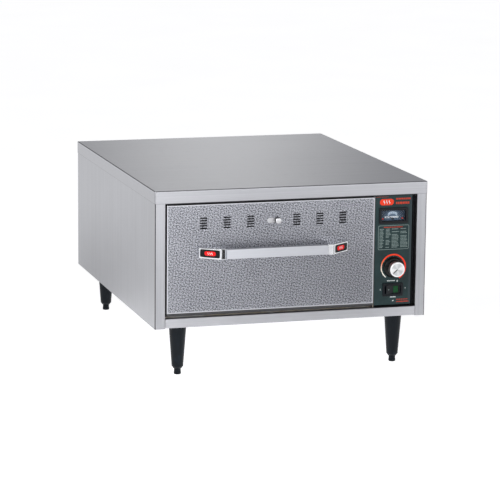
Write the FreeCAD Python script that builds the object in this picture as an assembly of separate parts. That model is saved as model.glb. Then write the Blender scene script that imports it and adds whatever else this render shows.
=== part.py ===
import FreeCAD, Part
import math
import os

# Free-standing food warming drawer: a sheet-metal cabinet on four screw feet, with one
# insulated drawer on telescopic slides and a column of controls to its right.
# Millimetres, +Z up, front towards -Y. The origin is on the floor, at the middle of the
# whole object's footprint, handle and cord gland included.

BODY_WIDTH = 572.0
BODY_DEPTH = 696.0
BODY_HEIGHT = 279.4
LEG_HEIGHT = 101.6
SHEET = 1.2
HANDLE_REACH = 42.0
GLAND_REACH = 22.0
DRAWER_TRAVEL = 480.0

HALF = BODY_WIDTH / 2
BASE = LEG_HEIGHT
TOP = LEG_HEIGHT + BODY_HEIGHT
FRONT = (HANDLE_REACH - GLAND_REACH - BODY_DEPTH) / 2
BACK = FRONT + BODY_DEPTH

SKIRT_HEIGHT = 25.4
SKIRT_BOTTOM = TOP - SKIRT_HEIGHT
STILE_LEFT_INNER = -HALF + 21.2
STILE_RIGHT_INNER = HALF - 20.4
STILE_RETURN = 16.0
RAIL_HEIGHT = 19.0
SHELL_TOP = TOP - SHEET

CAVITY_LEFT = STILE_LEFT_INNER + 1.3
CAVITY_RIGHT = 175.0
CAVITY_FRONT = FRONT + 21.0
CAVITY_BACK = FRONT + 640.0
CAVITY_FLOOR = 123.2
CAVITY_CEILING = 352.0

DRAWER_LEFT = -261.5
DRAWER_RIGHT = 174.0
DRAWER_BOTTOM = 132.1
DRAWER_TOP = 351.6
FRONT_THICKNESS = 18.0
VENT_CENTRES = [-186.4 + 48.9 * k for k in range(3)] + [8.2 + 48.9 * k for k in range(3)]
VENT_WIDTH = 15.2
VENT_BOTTOM = 301.6
SLOTS_PER_VENT = 5
SLOT_HEIGHT = 2.8
SLOT_PITCH = 5.15
VENT_HEIGHT = SLOT_PITCH * (SLOTS_PER_VENT - 1) + SLOT_HEIGHT
KNOB_SLOT = (-54.0, -27.2)
KNOB_SLOT_HEIGHT = 10.0
VENT_KNOB_X = -32.0
VENT_KNOB_Z = VENT_BOTTOM + VENT_HEIGHT / 2
SHUTTER_BACK = FRONT + 2.4

SLIDE_Z = 250.0
SLIDE_START = FRONT + 24.0
SLIDE_LENGTH = 570.0
SLIDE_THICKNESS = 12.7
BALL_RADIUS = 2.0
CAGE_START = SLIDE_START + 150.0
CAGE_LENGTH = 220.0
CAGE_BALL_PITCH = 20.0
CARRIAGE_LEFT = CAVITY_LEFT + SLIDE_THICKNESS
CARRIAGE_RIGHT = CAVITY_RIGHT - SLIDE_THICKNESS
CARRIAGE_BACK = FRONT + 600.0
CARRIAGE_TOP = 322.0
CARRIAGE_BOTTOM = 200.0
SLIDE_SIDES = {"left": (CAVITY_LEFT, 1), "right": (CAVITY_RIGHT, -1)}

ELEMENT_Z = CAVITY_FLOOR + 12.0
ELEMENT_RADIUS = 4.0
ELEMENT_BEND = 30.0
ELEMENT_RUNS = [-205.0, -125.0, -45.0, 35.0]
ELEMENT_NEAR = FRONT + 70.0
ELEMENT_FAR = FRONT + 540.0
ELEMENT_ENDS = (FRONT + 530.0, FRONT + 565.0)
ELEMENT_END_X = CAVITY_RIGHT + 14.0
SENSOR_Z = 345.0
SENSOR_PORTS = (FRONT + 520.0, FRONT + 545.0)

PAN_CENTRE = ((CARRIAGE_LEFT + CARRIAGE_RIGHT) / 2, (FRONT + 19.6 + CARRIAGE_BACK) / 2)
PAN_RIM = (325.0, 530.0)
PAN_MOUTH = (303.0, 508.0)
PAN_FOOT = (286.0, 491.0)
PAN_DEPTH = 150.0
PAN_WALL = 1.0

HANDLE_Z = 256.4
HANDLE_HEIGHT = 20.0
CAP_HEIGHT = 22.0
BAR_LEFT = -149.0
BAR_RIGHT = 63.0
CAP_LENGTH = 50.0

PANEL_LEFT = 176.6
PANEL_RIGHT = 255.8
PANEL_BOTTOM = 126.6
PANEL_TOP = 353.4
PANEL_BACK = FRONT + 5.0
OVERLAY_FRONT = FRONT + 3.0
OVERLAY_BACK = FRONT + 3.8

METER_CENTRE = (215.6, 312.0)
METER_BEZEL = (62.0, 32.6)
METER_WINDOW = (53.0, 22.0)
METER_CASE = (56.0, 26.0)
METER_FACE = (METER_WINDOW[0] - 0.2, METER_WINDOW[1] - 0.2)
METER_PIVOT = (215.6, 304.5)
NEEDLE_REST = 150.0
NEEDLE_LENGTH = 11.5
DIAL_CENTRE = (217.4, 204.6)
SHAFT_RADIUS = 3.0
KNOB_SKIRT_RADIUS = 21.5
KNOB_RADIUS = 15.6
KNOB_REACH = 24.0
SWITCH_CENTRE = (217.0, 158.2)
SWITCH_BEZEL = (44.0, 27.2)
SWITCH_CASE = (38.0, 22.0)
ROCKER = (32.0, 17.0)
ROCKER_WELL = (34.6, 17.8)
ROCKER_AXIS_Y = FRONT + 7.0
ROCKER_TILT = 9.0

LEG_INSET_X = 56.0
LEG_INSET_Y = 34.0
LEG_TOP_RADIUS = 18.0
LEG_NECK_RADIUS = 11.8
LEG_STEP = 16.8
FOOT_RADIUS = 7.4
FOOT_HEIGHT = 11.6
LEG_END = FOOT_HEIGHT + 0.4
FOOT_STEM_RADIUS = 5.0
FIT = 0.05
STUD_RADIUS = 6.0
LEG_NAMES = ["front_left", "front_right", "rear_left", "rear_right"]
PLATE_Z = BASE + 2 * SHEET
PLATE_THICKNESS = 3.0

GLAND = (232.0, 150.0)
CORD_RADIUS = 5.5
GLAND_THREAD_RADIUS = 10.0
TERMINAL = (230.0, BACK - 85.0, 130.0)
SCREW_RADIUS = 2.0


# ---------------------------------------------------------------- basic shapes

def box(x0, x1, y0, y1, z0, z1):
    return Part.makeBox(x1 - x0, y1 - y0, z1 - z0, FreeCAD.Vector(x0, y0, z0))


def rod(start, direction, radius, length):
    return Part.makeCylinder(radius, length, FreeCAD.Vector(*start), FreeCAD.Vector(*direction))


def tapered_rod(start, direction, r_start, r_end, length):
    return Part.makeCone(r_start, r_end, length, FreeCAD.Vector(*start), FreeCAD.Vector(*direction))


def joined(shapes):
    """Fuse touching shapes into one piece."""
    result = shapes[0].multiFuse(shapes[1:]) if len(shapes) > 1 else shapes[0]
    return result.removeSplitter()


def less(shape, holes):
    return shape.cut(Part.makeCompound(holes))


def prism(points, direction):
    """Extrude a closed polygon of 3-D points along a vector."""
    corners = [FreeCAD.Vector(*p) for p in points]
    face = Part.Face(Part.makePolygon(corners + corners[:1]))
    return face.extrude(FreeCAD.Vector(*direction))


def edges_along(shape, axis, keep=lambda centre: True):
    """Straight edges parallel to an axis (0, 1 or 2) whose middle passes the test."""
    chosen = []
    for edge in shape.Edges:
        if not isinstance(edge.Curve, Part.Line):
            continue
        start, end = edge.Vertexes[0].Point, edge.Vertexes[-1].Point
        span = end - start
        across = [abs(span[i]) for i in range(3) if i != axis]
        if max(across) < 1e-6 and keep((start + end) * 0.5):
            chosen.append(edge)
    return chosen


def rounded_plate(x0, x1, y0, y1, z0, z1, axis, radius):
    """A plate with its four edges along one axis rounded."""
    plate = box(x0, x1, y0, y1, z0, z1)
    return plate.makeFillet(radius, edges_along(plate, axis))


def bent_tube(points, radius, bend):
    """A round wire or tube along straight runs joined by tangent arcs."""
    corners = [FreeCAD.Vector(*p) for p in points]
    edges = []
    start = corners[0]
    for before, corner, after in zip(corners, corners[1:], corners[2:]):
        back = (before - corner).normalize()
        onward = (after - corner).normalize()
        half_turn = (math.pi - back.getAngle(onward)) / 2
        setback = bend * math.tan(half_turn)
        arc_start = corner + back * setback
        arc_end = corner + onward * setback
        bisector = (back + onward).normalize()
        middle = corner + bisector * (bend / math.cos(half_turn) - bend)
        edges.append(Part.LineSegment(start, arc_start).toShape())
        edges.append(Part.Arc(arc_start, middle, arc_end).toShape())
        start = arc_end
    edges.append(Part.LineSegment(start, corners[-1]).toShape())
    path = Part.Wire(edges)
    section = Part.Wire(Part.makeCircle(radius, corners[0], corners[1] - corners[0]))
    return path.makePipeShell([section], True, True)


def rounded_rectangle(centre, size, radius, z):
    """A flat closed outline with round corners at height z."""
    x, y = centre
    half_x, half_y = size[0] / 2 - radius, size[1] / 2 - radius
    edges = []
    corners = [(1, 1, 0), (-1, 1, 90), (-1, -1, 180), (1, -1, 270)]
    for sign_x, sign_y, angle in corners:
        middle = FreeCAD.Vector(x + sign_x * half_x, y + sign_y * half_y, z)
        arc = Part.makeCircle(radius, middle, FreeCAD.Vector(0, 0, 1), angle, angle + 90)
        edges.append(arc)
    sides = []
    for arc, following in zip(edges, edges[1:] + edges[:1]):
        sides.append(arc)
        sides.append(Part.LineSegment(arc.Vertexes[-1].Point, following.Vertexes[0].Point).toShape())
    return Part.Wire(sides)


def pan_screw(head_centre, direction, head_radius, shank_radius, length):
    """A dome-headed screw with a slot; direction points into the work."""
    axis = FreeCAD.Vector(*direction)
    centre = FreeCAD.Vector(*head_centre)
    height = head_radius * 0.55
    head = Part.makeCylinder(head_radius, height, centre - axis * height, axis)
    outer = [e for e in head.Edges if (e.CenterOfMass - (centre - axis * height)).Length < 0.01]
    head = head.makeFillet(height * 0.7, outer)
    shank = Part.makeCylinder(shank_radius, length, centre, axis)
    return joined([head, shank])


def save(name, shape):
    assert shape.isValid() and shape.Solids, name
    shape.exportStep("parts/" + name + ".step")


# ---------------------------------------------------------------- outer shell

def top_cover():
    """Deep folded lid whose skirt laps over the body on all four sides."""
    lid = box(-HALF - SHEET, HALF + SHEET, FRONT - SHEET, BACK + SHEET, SKIRT_BOTTOM, TOP)
    bends = edges_along(lid, 0, lambda c: c.z > TOP - 1) + edges_along(lid, 1, lambda c: c.z > TOP - 1)
    lid = lid.makeFillet(1.8, bends + edges_along(lid, 2))
    return less(lid, [box(-HALF, HALF, FRONT, BACK, SKIRT_BOTTOM - 1, TOP - SHEET)])


def side_panel(sign, stile_inner):
    """Side wall folded into the front stile, its return, and the bottom and rear flanges."""
    wall = box(*sorted((sign * HALF, sign * (HALF - SHEET))), FRONT, BACK - SHEET, BASE, SHELL_TOP)
    stile = box(*sorted((sign * HALF, stile_inner)), FRONT, FRONT + SHEET, BASE, SHELL_TOP)
    back_of_return = stile_inner + sign * SHEET
    inner_return = box(*sorted((stile_inner, back_of_return)), FRONT, FRONT + STILE_RETURN, BASE, SHELL_TOP)
    foot_inner = sign * (HALF - 18.0)
    foot = box(*sorted((sign * HALF, foot_inner)), FRONT + STILE_RETURN + 1, BACK - SHEET, BASE, BASE + SHEET)
    rear_inner = sign * (HALF - 12.0)
    rear = box(*sorted((sign * HALF, rear_inner)), BACK - 2 * SHEET, BACK - SHEET, BASE, SHELL_TOP)
    panel = joined([wall, stile, inner_return, foot, rear])
    holes = [rod((x, BACK - 5, z), (0, 1, 0), SCREW_RADIUS + FIT, 10) for x, z in back_screw_places()]
    corner = edges_along(panel, 2, lambda c: abs(c.x - sign * HALF) < 0.1 and c.y < FRONT + 0.1)
    lip = edges_along(panel, 2, lambda c: abs(c.x - stile_inner) < 0.1 and c.y < FRONT + 0.1)
    return less(panel.makeFillet(1.0, corner + lip), holes)


def back_screw_places():
    rows = [BASE + 24, BASE + 125, BASE + 225]
    return [(sign * (HALF - 6.0), z) for sign in (-1, 1) for z in rows]


def back_panel():
    """Flat rear sheet with the cord hole and a louvred field behind the controls."""
    sheet = box(-HALF, HALF, BACK - SHEET, BACK, BASE, SHELL_TOP)
    holes = [rod((x, BACK - 5, z), (0, 1, 0), SCREW_RADIUS + FIT, 10) for x, z in back_screw_places()]
    holes.append(rod((GLAND[0], BACK - 5, GLAND[1]), (0, 1, 0), GLAND_THREAD_RADIUS + FIT, 10))
    for row in range(7):
        z = 220 + 10 * row
        holes.append(rounded_plate(204, 260, BACK - 5, BACK + 5, z, z + 4, 1, 1.9))
    return less(sheet, holes)


def base_pan():
    """Bottom sheet, folded up at the front into the rail below the drawer."""
    left, right = STILE_LEFT_INNER + 0.4, STILE_RIGHT_INNER - 0.4
    floor_bottom = BASE + SHEET
    rail_top = floor_bottom + RAIL_HEIGHT
    floor = box(-HALF + 1.4, HALF - 1.4, FRONT + STILE_RETURN + 0.4, BACK - 2.6, floor_bottom, PLATE_Z)
    apron = box(left, right, FRONT, FRONT + STILE_RETURN + 1, floor_bottom, PLATE_Z)
    rail = box(left, right, FRONT, FRONT + SHEET, floor_bottom, rail_top)
    lip = box(left, right, FRONT, FRONT + 14, rail_top - SHEET, rail_top)
    pan = joined([floor, apron, rail, lip])
    bends = edges_along(pan, 0, lambda c: c.y < FRONT + 0.1)
    pan = pan.makeFillet(1.0, bends)
    return less(pan, [rod((x, y, BASE), (0, 0, 1), STUD_RADIUS + 0.5, 10) for x, y in leg_places()])


def front_header():
    """Channel across the top of the drawer opening, behind the lid's skirt."""
    left, right = STILE_LEFT_INNER + 0.3, STILE_RIGHT_INNER - 0.3
    face = box(left, right, FRONT + 1.6, FRONT + 1.6 + SHEET, 353.6, SHELL_TOP - 0.2)
    shelf = box(left, right, FRONT + 1.6, FRONT + 15.6, 353.6, 353.6 + SHEET)
    return joined([face, shelf])


def panel_bracket():
    """Upright angle that closes the slot between the control panel and the right stile."""
    web = box(256.6, STILE_RIGHT_INNER - 0.3, FRONT + 12, FRONT + 12 + SHEET, 124, 352.8)
    rib = box(259.2, 260.4, FRONT + 7, FRONT + 12.4, 124, 352.8)
    return joined([web, rib])


# ---------------------------------------------------------------- heated cavity

def cavity_left_wall():
    return box(CAVITY_LEFT - SHEET, CAVITY_LEFT, CAVITY_FRONT, CAVITY_BACK, CAVITY_FLOOR, CAVITY_CEILING)


def divider_wall():
    """Wall between the cavity and the controls, with a flange that the panel screws to."""
    wall = box(CAVITY_RIGHT, CAVITY_RIGHT + SHEET, PANEL_BACK, CAVITY_BACK, PLATE_Z, CAVITY_CEILING)
    flange = box(CAVITY_RIGHT, CAVITY_RIGHT + 10, PANEL_BACK, PANEL_BACK + SHEET, PANEL_BOTTOM, 352.0)
    wall = joined([wall, flange])
    rail_clearance = box(CAVITY_RIGHT - 1, CAVITY_RIGHT + 12, FRONT, FRONT + 15, PLATE_Z - 1, 122)
    holes = [rod((CAVITY_RIGHT - 5, y, ELEMENT_Z), (1, 0, 0), 5.0, 15) for y in ELEMENT_ENDS]
    holes += [rod((CAVITY_RIGHT - 5, y, SENSOR_Z), (1, 0, 0), 2.5, 15) for y in SENSOR_PORTS]
    return less(wall, holes + [rail_clearance])


def cavity_ceiling():
    return box(CAVITY_LEFT - SHEET, CAVITY_RIGHT + SHEET, CAVITY_FRONT, CAVITY_BACK,
               CAVITY_CEILING, CAVITY_CEILING + SHEET)


def cavity_back():
    return box(CAVITY_LEFT - SHEET, CAVITY_RIGHT + SHEET, CAVITY_BACK, CAVITY_BACK + SHEET,
               CAVITY_FLOOR - SHEET, CAVITY_CEILING + SHEET)


def cavity_floor():
    return box(CAVITY_LEFT - SHEET, CAVITY_RIGHT - 0.2, FRONT + 16, CAVITY_BACK,
               CAVITY_FLOOR - SHEET, CAVITY_FLOOR)


def cabinet_insulation():
    """Separate mineral-wool slabs: left side, ceiling, rear and under the floor."""
    front, rear = FRONT + 22, CAVITY_BACK
    side = box(-HALF + 1.6, CAVITY_LEFT - SHEET - 0.2, front, rear, PLATE_Z + 0.4, SHELL_TOP - 2)
    ceiling = box(CAVITY_LEFT, CAVITY_RIGHT, front, rear, CAVITY_CEILING + 1.4, SHELL_TOP - 0.4)
    bottom = PLATE_Z + PLATE_THICKNESS + 0.6
    back = box(CAVITY_LEFT, CAVITY_RIGHT, rear + 1.4, rear + 30, bottom, CAVITY_CEILING)
    base = box(CAVITY_LEFT, CAVITY_RIGHT - 0.4, FRONT + 18, rear, bottom, CAVITY_FLOOR - SHEET - 0.2)
    clear = [rod((x, y, bottom - 1), (0, 0, 1), STUD_RADIUS + 4, 20) for x, y in leg_places()]
    return Part.makeCompound([side, ceiling, less(back, clear), less(base, clear)])


def heating_element():
    """Sheathed rod in four long runs over the floor, both ends leaving through the divider."""
    inner_end, outer_end = ELEMENT_ENDS
    a, b, c, d = ELEMENT_RUNS
    z = ELEMENT_Z
    route = [(CAVITY_RIGHT + 14, inner_end, z), (d, inner_end, z), (d, ELEMENT_NEAR, z),
             (c, ELEMENT_NEAR, z), (c, ELEMENT_FAR, z), (b, ELEMENT_FAR, z),
             (b, ELEMENT_NEAR, z), (a, ELEMENT_NEAR, z), (a, outer_end, z),
             (CAVITY_RIGHT + 14, outer_end, z)]
    return bent_tube(route, ELEMENT_RADIUS, ELEMENT_BEND)


def element_clips():
    """Saddles that hold the element off the floor, two to a run."""
    clips = []
    for x in ELEMENT_RUNS:
        for y in (FRONT + 160.0, FRONT + 430.0):
            block = rounded_plate(x - 9, x + 9, y - 6, y + 6, CAVITY_FLOOR, ELEMENT_Z + 6.5, 1, 5.5)
            clips.append(less(block, [rod((x, y - 10, ELEMENT_Z), (0, 1, 0), ELEMENT_RADIUS + FIT, 20)]))
    return Part.makeCompound(clips)


# ---------------------------------------------------------------- legs and feet

def leg_places():
    x, y_front, y_rear = HALF - LEG_INSET_X, FRONT + LEG_INSET_Y, BACK - LEG_INSET_Y
    return [(-x, y_front), (x, y_front), (-x, y_rear), (x, y_rear)]


def leg(x, y):
    """Tapered moulded leg, chamfered at its lower end, on a threaded stud into the base plate."""
    shank = tapered_rod((x, y, LEG_STEP), (0, 0, 1), LEG_NECK_RADIUS, LEG_TOP_RADIUS, BASE - LEG_STEP)
    heel = tapered_rod((x, y, LEG_END), (0, 0, 1), FOOT_RADIUS + 1.0, LEG_NECK_RADIUS, LEG_STEP - LEG_END)
    stud = rod((x, y, BASE - 0.5), (0, 0, 1), STUD_RADIUS, 14.0)
    stem_hole = rod((x, y, LEG_END - 1), (0, 0, 1), FOOT_STEM_RADIUS + FIT, 50.0)
    return less(joined([shank, heel, stud]), [stem_hole])


def foot(x, y):
    """Levelling foot: a round pad on a stem that screws up into the leg."""
    pad = tapered_rod((x, y, 0), (0, 0, 1), FOOT_RADIUS, FOOT_RADIUS - 0.6, FOOT_HEIGHT)
    pad = pad.makeFillet(1.2, [e for e in pad.Edges if abs(e.BoundBox.ZMax) < 0.01])
    stem = rod((x, y, FOOT_HEIGHT - 1), (0, 0, 1), FOOT_STEM_RADIUS, 44.0)
    return joined([pad, stem])


def leg_plates():
    """Square steel plates inside the base that the leg studs screw into."""
    plates = []
    for x, y in leg_places():
        half = 15.0 if y < 0 else 28.0
        plate = box(x - 28, x + 28, y - half, y + half, PLATE_Z, PLATE_Z + PLATE_THICKNESS)
        plates.append(less(plate, [rod((x, y, BASE), (0, 0, 1), STUD_RADIUS + FIT, 20)]))
    return Part.makeCompound(plates)


# ---------------------------------------------------------------- telescopic slides

def channel(wall_x, inward, near, far, half_height, web, flange, start, length):
    """C-section with its web at distance near and its flanges reaching to distance far.

    Distances are measured from the cavity wall towards the drawer. When near is larger
    than far, the section is open towards the wall.
    """
    web_far = near + web if far > near else near - web
    pieces = [(near, web_far, -half_height, half_height),
              (near, far, half_height - flange, half_height),
              (near, far, -half_height, -half_height + flange)]
    solids = []
    for first, second, low, high in pieces:
        x0, x1 = sorted((wall_x + inward * first, wall_x + inward * second))
        solids.append(box(x0, x1, start, start + length, SLIDE_Z + low, SLIDE_Z + high))
    return joined(solids)


def slide_outer(wall_x, inward):
    return channel(wall_x, inward, 0.0, 11.0, 22.5, 1.5, 1.5, SLIDE_START, SLIDE_LENGTH)


def slide_middle(wall_x, inward):
    return channel(wall_x, inward, 2.8, 11.0, 16.4, 1.4, 1.4, SLIDE_START, SLIDE_LENGTH)


def slide_inner(wall_x, inward):
    return channel(wall_x, inward, SLIDE_THICKNESS, 5.2, 10.4, 1.4, 1.4, SLIDE_START, SLIDE_LENGTH)


def ball_cage(wall_x, inward, near, far, half_height, ball_z, ball_x):
    """Thin retainer with two rows of bearing balls seated in its flanges."""
    cage = channel(wall_x, inward, near, far, half_height, 0.6, 0.6, CAGE_START, CAGE_LENGTH)
    balls, seats = [], []
    count = int(CAGE_LENGTH / CAGE_BALL_PITCH) - 1
    for side in (-1, 1):
        for k in range(count):
            y = CAGE_START + CAGE_BALL_PITCH * (k + 1)
            centre = FreeCAD.Vector(wall_x + inward * ball_x, y, SLIDE_Z + side * ball_z)
            balls.append(Part.makeSphere(BALL_RADIUS, centre))
            seats.append(Part.makeSphere(BALL_RADIUS + FIT, centre))
    return Part.makeCompound([less(cage, seats)] + balls)


# ---------------------------------------------------------------- drawer

def vent_slots(y0, y1, shift=0.0):
    """The thin slots of every vent group, as cutting bars."""
    bars = []
    for x in VENT_CENTRES:
        for k in range(SLOTS_PER_VENT):
            z = VENT_BOTTOM + SLOT_PITCH * k
            left = x + shift - VENT_WIDTH / 2
            bars.append(rounded_plate(left, left + VENT_WIDTH, y0, y1, z, z + SLOT_HEIGHT, 1, 0.9))
    return bars


def drawer_front_skin():
    """Outer face of the drawer front, an upturned tray of embossed sheet."""
    tray = box(DRAWER_LEFT, DRAWER_RIGHT, FRONT, FRONT + FRONT_THICKNESS, DRAWER_BOTTOM, DRAWER_TOP)
    face_edges = [e for e in tray.Edges if abs(e.CenterOfMass.y - FRONT) < 0.1]
    tray = tray.makeFillet(1.1, face_edges)
    hollow = box(DRAWER_LEFT + SHEET, DRAWER_RIGHT - SHEET, FRONT + SHEET, FRONT + FRONT_THICKNESS + 1,
                 DRAWER_BOTTOM + SHEET, DRAWER_TOP - SHEET)
    z0, z1 = VENT_KNOB_Z - KNOB_SLOT_HEIGHT / 2, VENT_KNOB_Z + KNOB_SLOT_HEIGHT / 2
    knob_slot = rounded_plate(KNOB_SLOT[0], KNOB_SLOT[1], FRONT - 1, FRONT + 3, z0, z1, 1, 4.9)
    screws = [rod((x, FRONT - 5, HANDLE_Z), (0, 1, 0), 2.55, 10) for x in handle_screw_places()]
    return less(tray, [hollow, knob_slot] + screws + vent_slots(FRONT - 1, FRONT + 3))


def drawer_front_back():
    """Inner plate that closes the drawer front, folded forward into the bottom lip."""
    y0 = FRONT + FRONT_THICKNESS
    plate = box(DRAWER_LEFT + 1.4, DRAWER_RIGHT - 1.4, y0, y0 + SHEET, 127.6, DRAWER_TOP - 1.4)
    bottom = box(DRAWER_LEFT, DRAWER_RIGHT, FRONT + 0.8, y0 + SHEET, 127.6, 127.6 + SHEET)
    lip = box(DRAWER_LEFT, DRAWER_RIGHT, FRONT + 0.8, FRONT + 0.8 + SHEET, 127.6, DRAWER_BOTTOM - 0.1)
    windows = []
    for x in VENT_CENTRES:
        windows.append(box(x - 9, x + 9, y0 - 2, y0 + 4, VENT_BOTTOM - 2, VENT_BOTTOM + VENT_HEIGHT + 2))
    return less(joined([plate, bottom, lip]), windows)


def front_insulation():
    slab = box(DRAWER_LEFT + 3, DRAWER_RIGHT - 3, FRONT + 4.6, FRONT + FRONT_THICKNESS - 0.2,
               DRAWER_BOTTOM + 1.6, 288.0)
    return less(slab, [rod((x, FRONT, HANDLE_Z), (0, 1, 0), 6.0, 20) for x in handle_screw_places()])


def shutter_guides():
    """Folded strips spot-welded behind the front that hold the vent shutter."""
    guides = []
    for inner, outer in ((297.0, 290.0), (331.6, 338.6)):
        sign = 1 if inner > outer else -1
        foot_strip = box(-245, 150, FRONT + SHEET, SHUTTER_BACK + 0.4, *sorted((outer, inner)))
        hook = box(-245, 150, SHUTTER_BACK + 0.3, SHUTTER_BACK + 1.3, *sorted((outer, inner + sign * 4)))
        guides.append(joined([foot_strip, hook]))
    return Part.makeCompound(guides)


def vent_shutter():
    """Sliding plate with slots that line up with the front's when the vents are open."""
    plate = box(-214, 134, FRONT + SHEET + 0.3, SHUTTER_BACK, 297.4, 331.2)
    bolt = rod((VENT_KNOB_X, FRONT, VENT_KNOB_Z), (0, 1, 0), 2.05, 6)
    return less(plate, vent_slots(FRONT - 1, SHUTTER_BACK + 1) + [bolt])


def vent_knob():
    """Turned knob on a neck that runs in the obround slot, riveted to the shutter."""
    neck = rod((VENT_KNOB_X, FRONT - 1.6, VENT_KNOB_Z), (0, 1, 0), 4.2, 1.6 + SHEET + 0.3)
    head = rod((VENT_KNOB_X, FRONT - 9.0, VENT_KNOB_Z), (0, 1, 0), 6.4, 7.4)
    head = head.makeFillet(1.6, [e for e in head.Edges if abs(e.CenterOfMass.y - FRONT + 9.0) < 0.1])
    rivet = rod((VENT_KNOB_X, FRONT, VENT_KNOB_Z), (0, 1, 0), 2.0, 2.4)
    tail = rod((VENT_KNOB_X, SHUTTER_BACK, VENT_KNOB_Z), (0, 1, 0), 4.0, 1.0)
    return joined([neck, head, rivet, tail])


def drawer_sides():
    """Left and right plates of the carriage, each with a top flange under the pan frame."""
    y0, y1 = FRONT + FRONT_THICKNESS + SHEET, CARRIAGE_BACK - 1.5
    sides = []
    for outer_x, fold in ((CARRIAGE_LEFT, 1), (CARRIAGE_RIGHT, -1)):
        plate = box(*sorted((outer_x, outer_x + fold * 1.5)), y0, y1, CARRIAGE_BOTTOM, CARRIAGE_TOP)
        flange = box(*sorted((outer_x, outer_x + fold * 30)), y0, y1, CARRIAGE_TOP - 1.5, CARRIAGE_TOP)
        sides.append(joined([plate, flange]))
    return Part.makeCompound(sides)


def drawer_back():
    return box(CARRIAGE_LEFT, CARRIAGE_RIGHT, CARRIAGE_BACK - 1.5, CARRIAGE_BACK,
               CARRIAGE_BOTTOM, CARRIAGE_TOP)


def pan_frame():
    """Top plate of the carriage with the opening that the food pan hangs in."""
    plate = box(CARRIAGE_LEFT, CARRIAGE_RIGHT, FRONT + FRONT_THICKNESS + SHEET, CARRIAGE_BACK,
                CARRIAGE_TOP, CARRIAGE_TOP + 1.5)
    opening = rounded_rectangle(PAN_CENTRE, (PAN_MOUTH[0] + 4, PAN_MOUTH[1] + 4), 26, CARRIAGE_TOP - 1)
    return less(plate, [Part.Face(opening).extrude(FreeCAD.Vector(0, 0, 4))])


def food_pan():
    """Full-size food pan: a flat rim and tapered walls down to a flat bottom."""
    rim_z = CARRIAGE_TOP + 1.5
    bottom_z = rim_z - PAN_DEPTH
    rim = Part.Face(rounded_rectangle(PAN_CENTRE, PAN_RIM, 22, rim_z)).extrude(FreeCAD.Vector(0, 0, 1.2))
    mouth = rounded_rectangle(PAN_CENTRE, PAN_MOUTH, 24, rim_z + 1.2)
    foot_wire = rounded_rectangle(PAN_CENTRE, PAN_FOOT, 30, bottom_z)
    inner_size = [(a - 2 * PAN_WALL, b - 2 * PAN_WALL) for a, b in (PAN_MOUTH, PAN_FOOT)]
    inner_mouth = rounded_rectangle(PAN_CENTRE, inner_size[0], 23, rim_z + 1.2)
    inner_foot = rounded_rectangle(PAN_CENTRE, inner_size[1], 29, bottom_z + PAN_WALL)
    outside = Part.makeLoft([foot_wire, mouth], True)
    inside = Part.makeLoft([inner_foot, inner_mouth], True)
    return rim.fuse(outside).cut(inside)


def handle_screw_places():
    return (BAR_LEFT - 25.0, BAR_RIGHT + 25.0)


def handle_bar():
    """Flat bar between the two end castings, with eased edges."""
    bar = box(BAR_LEFT, BAR_RIGHT, FRONT - HANDLE_REACH, FRONT - HANDLE_REACH + 9,
              HANDLE_Z - HANDLE_HEIGHT / 2, HANDLE_Z + HANDLE_HEIGHT / 2)
    return bar.makeFillet(1.6, edges_along(bar, 0))


def cap_outline(inner_x, out):
    """Plan of one end casting: base, outer slope, front nose, neck and inner face."""
    offsets = [(8.0, 0.0), (CAP_LENGTH, 0.0), (CAP_LENGTH, 12.5), (12.5, 40.6), (10.5, 40.6),
               (0.0, 37.5), (0.0, 31.0)]
    return [(inner_x + out * dx, FRONT - dy, HANDLE_Z - CAP_HEIGHT / 2) for dx, dy in offsets]


def slope_frame(inner_x, out):
    """Middle and unit directions (along, outward) of a casting's sloped face."""
    low = FreeCAD.Vector(inner_x + out * CAP_LENGTH, FRONT - 12.5, HANDLE_Z)
    high = FreeCAD.Vector(inner_x + out * 12.5, FRONT - 40.6, HANDLE_Z)
    along = (high - low).normalize()
    outward = FreeCAD.Vector(along.y, -along.x, 0) * (1 if out < 0 else -1)
    if outward.y > 0:
        outward = outward * -1
    return (low + high) * 0.5, along, outward


def inset_block(inner_x, out, length, height, depth, proud=0.0):
    """Rounded block let into the sloped face of a casting."""
    middle, along, outward = slope_frame(inner_x, out)
    block = Part.makeBox(length, height, depth + proud, FreeCAD.Vector(-length / 2, -height / 2, -depth))
    block = block.makeFillet(3.0, edges_along(block, 2))
    up = FreeCAD.Vector(0, 0, 1)
    placing = FreeCAD.Matrix(along.x, up.x, outward.x, middle.x,
                             along.y, up.y, outward.y, middle.y,
                             along.z, up.z, outward.z, middle.z, 0, 0, 0, 1)
    return block.transformGeometry(placing)


def handle_cap(inner_x, out):
    """Plated end casting with a recessed badge seat and a hole for its fixing screw."""
    cap = prism(cap_outline(inner_x, out), (0, 0, CAP_HEIGHT))
    cap = cap.makeFillet(1.4, edges_along(cap, 2, lambda c: c.y < FRONT - 1))
    seat = inset_block(inner_x, out, 42.4, 16.0, 2.4, 5.0)
    centre_x = inner_x + out * 25.0
    screw_hole = rod((centre_x, FRONT - 16, HANDLE_Z), (0, 1, 0), 2.55, 20)
    return less(cap, [seat, screw_hole])


def handle_inset(inner_x, out):
    """Moulded badge plate glued into the casting's recess."""
    return inset_block(inner_x, out, 42.0, 15.6, 2.4, -0.9)


def handle_screws():
    screws = []
    for x in handle_screw_places():
        head = rod((x, FRONT + 1.3, HANDLE_Z), (0, 1, 0), 4.5, 2.6)
        shank = rod((x, FRONT - 14, HANDLE_Z), (0, 1, 0), 2.5, 16.5)
        screws.append(joined([head, shank]))
    return Part.makeCompound(screws)


# ---------------------------------------------------------------- control column

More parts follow.
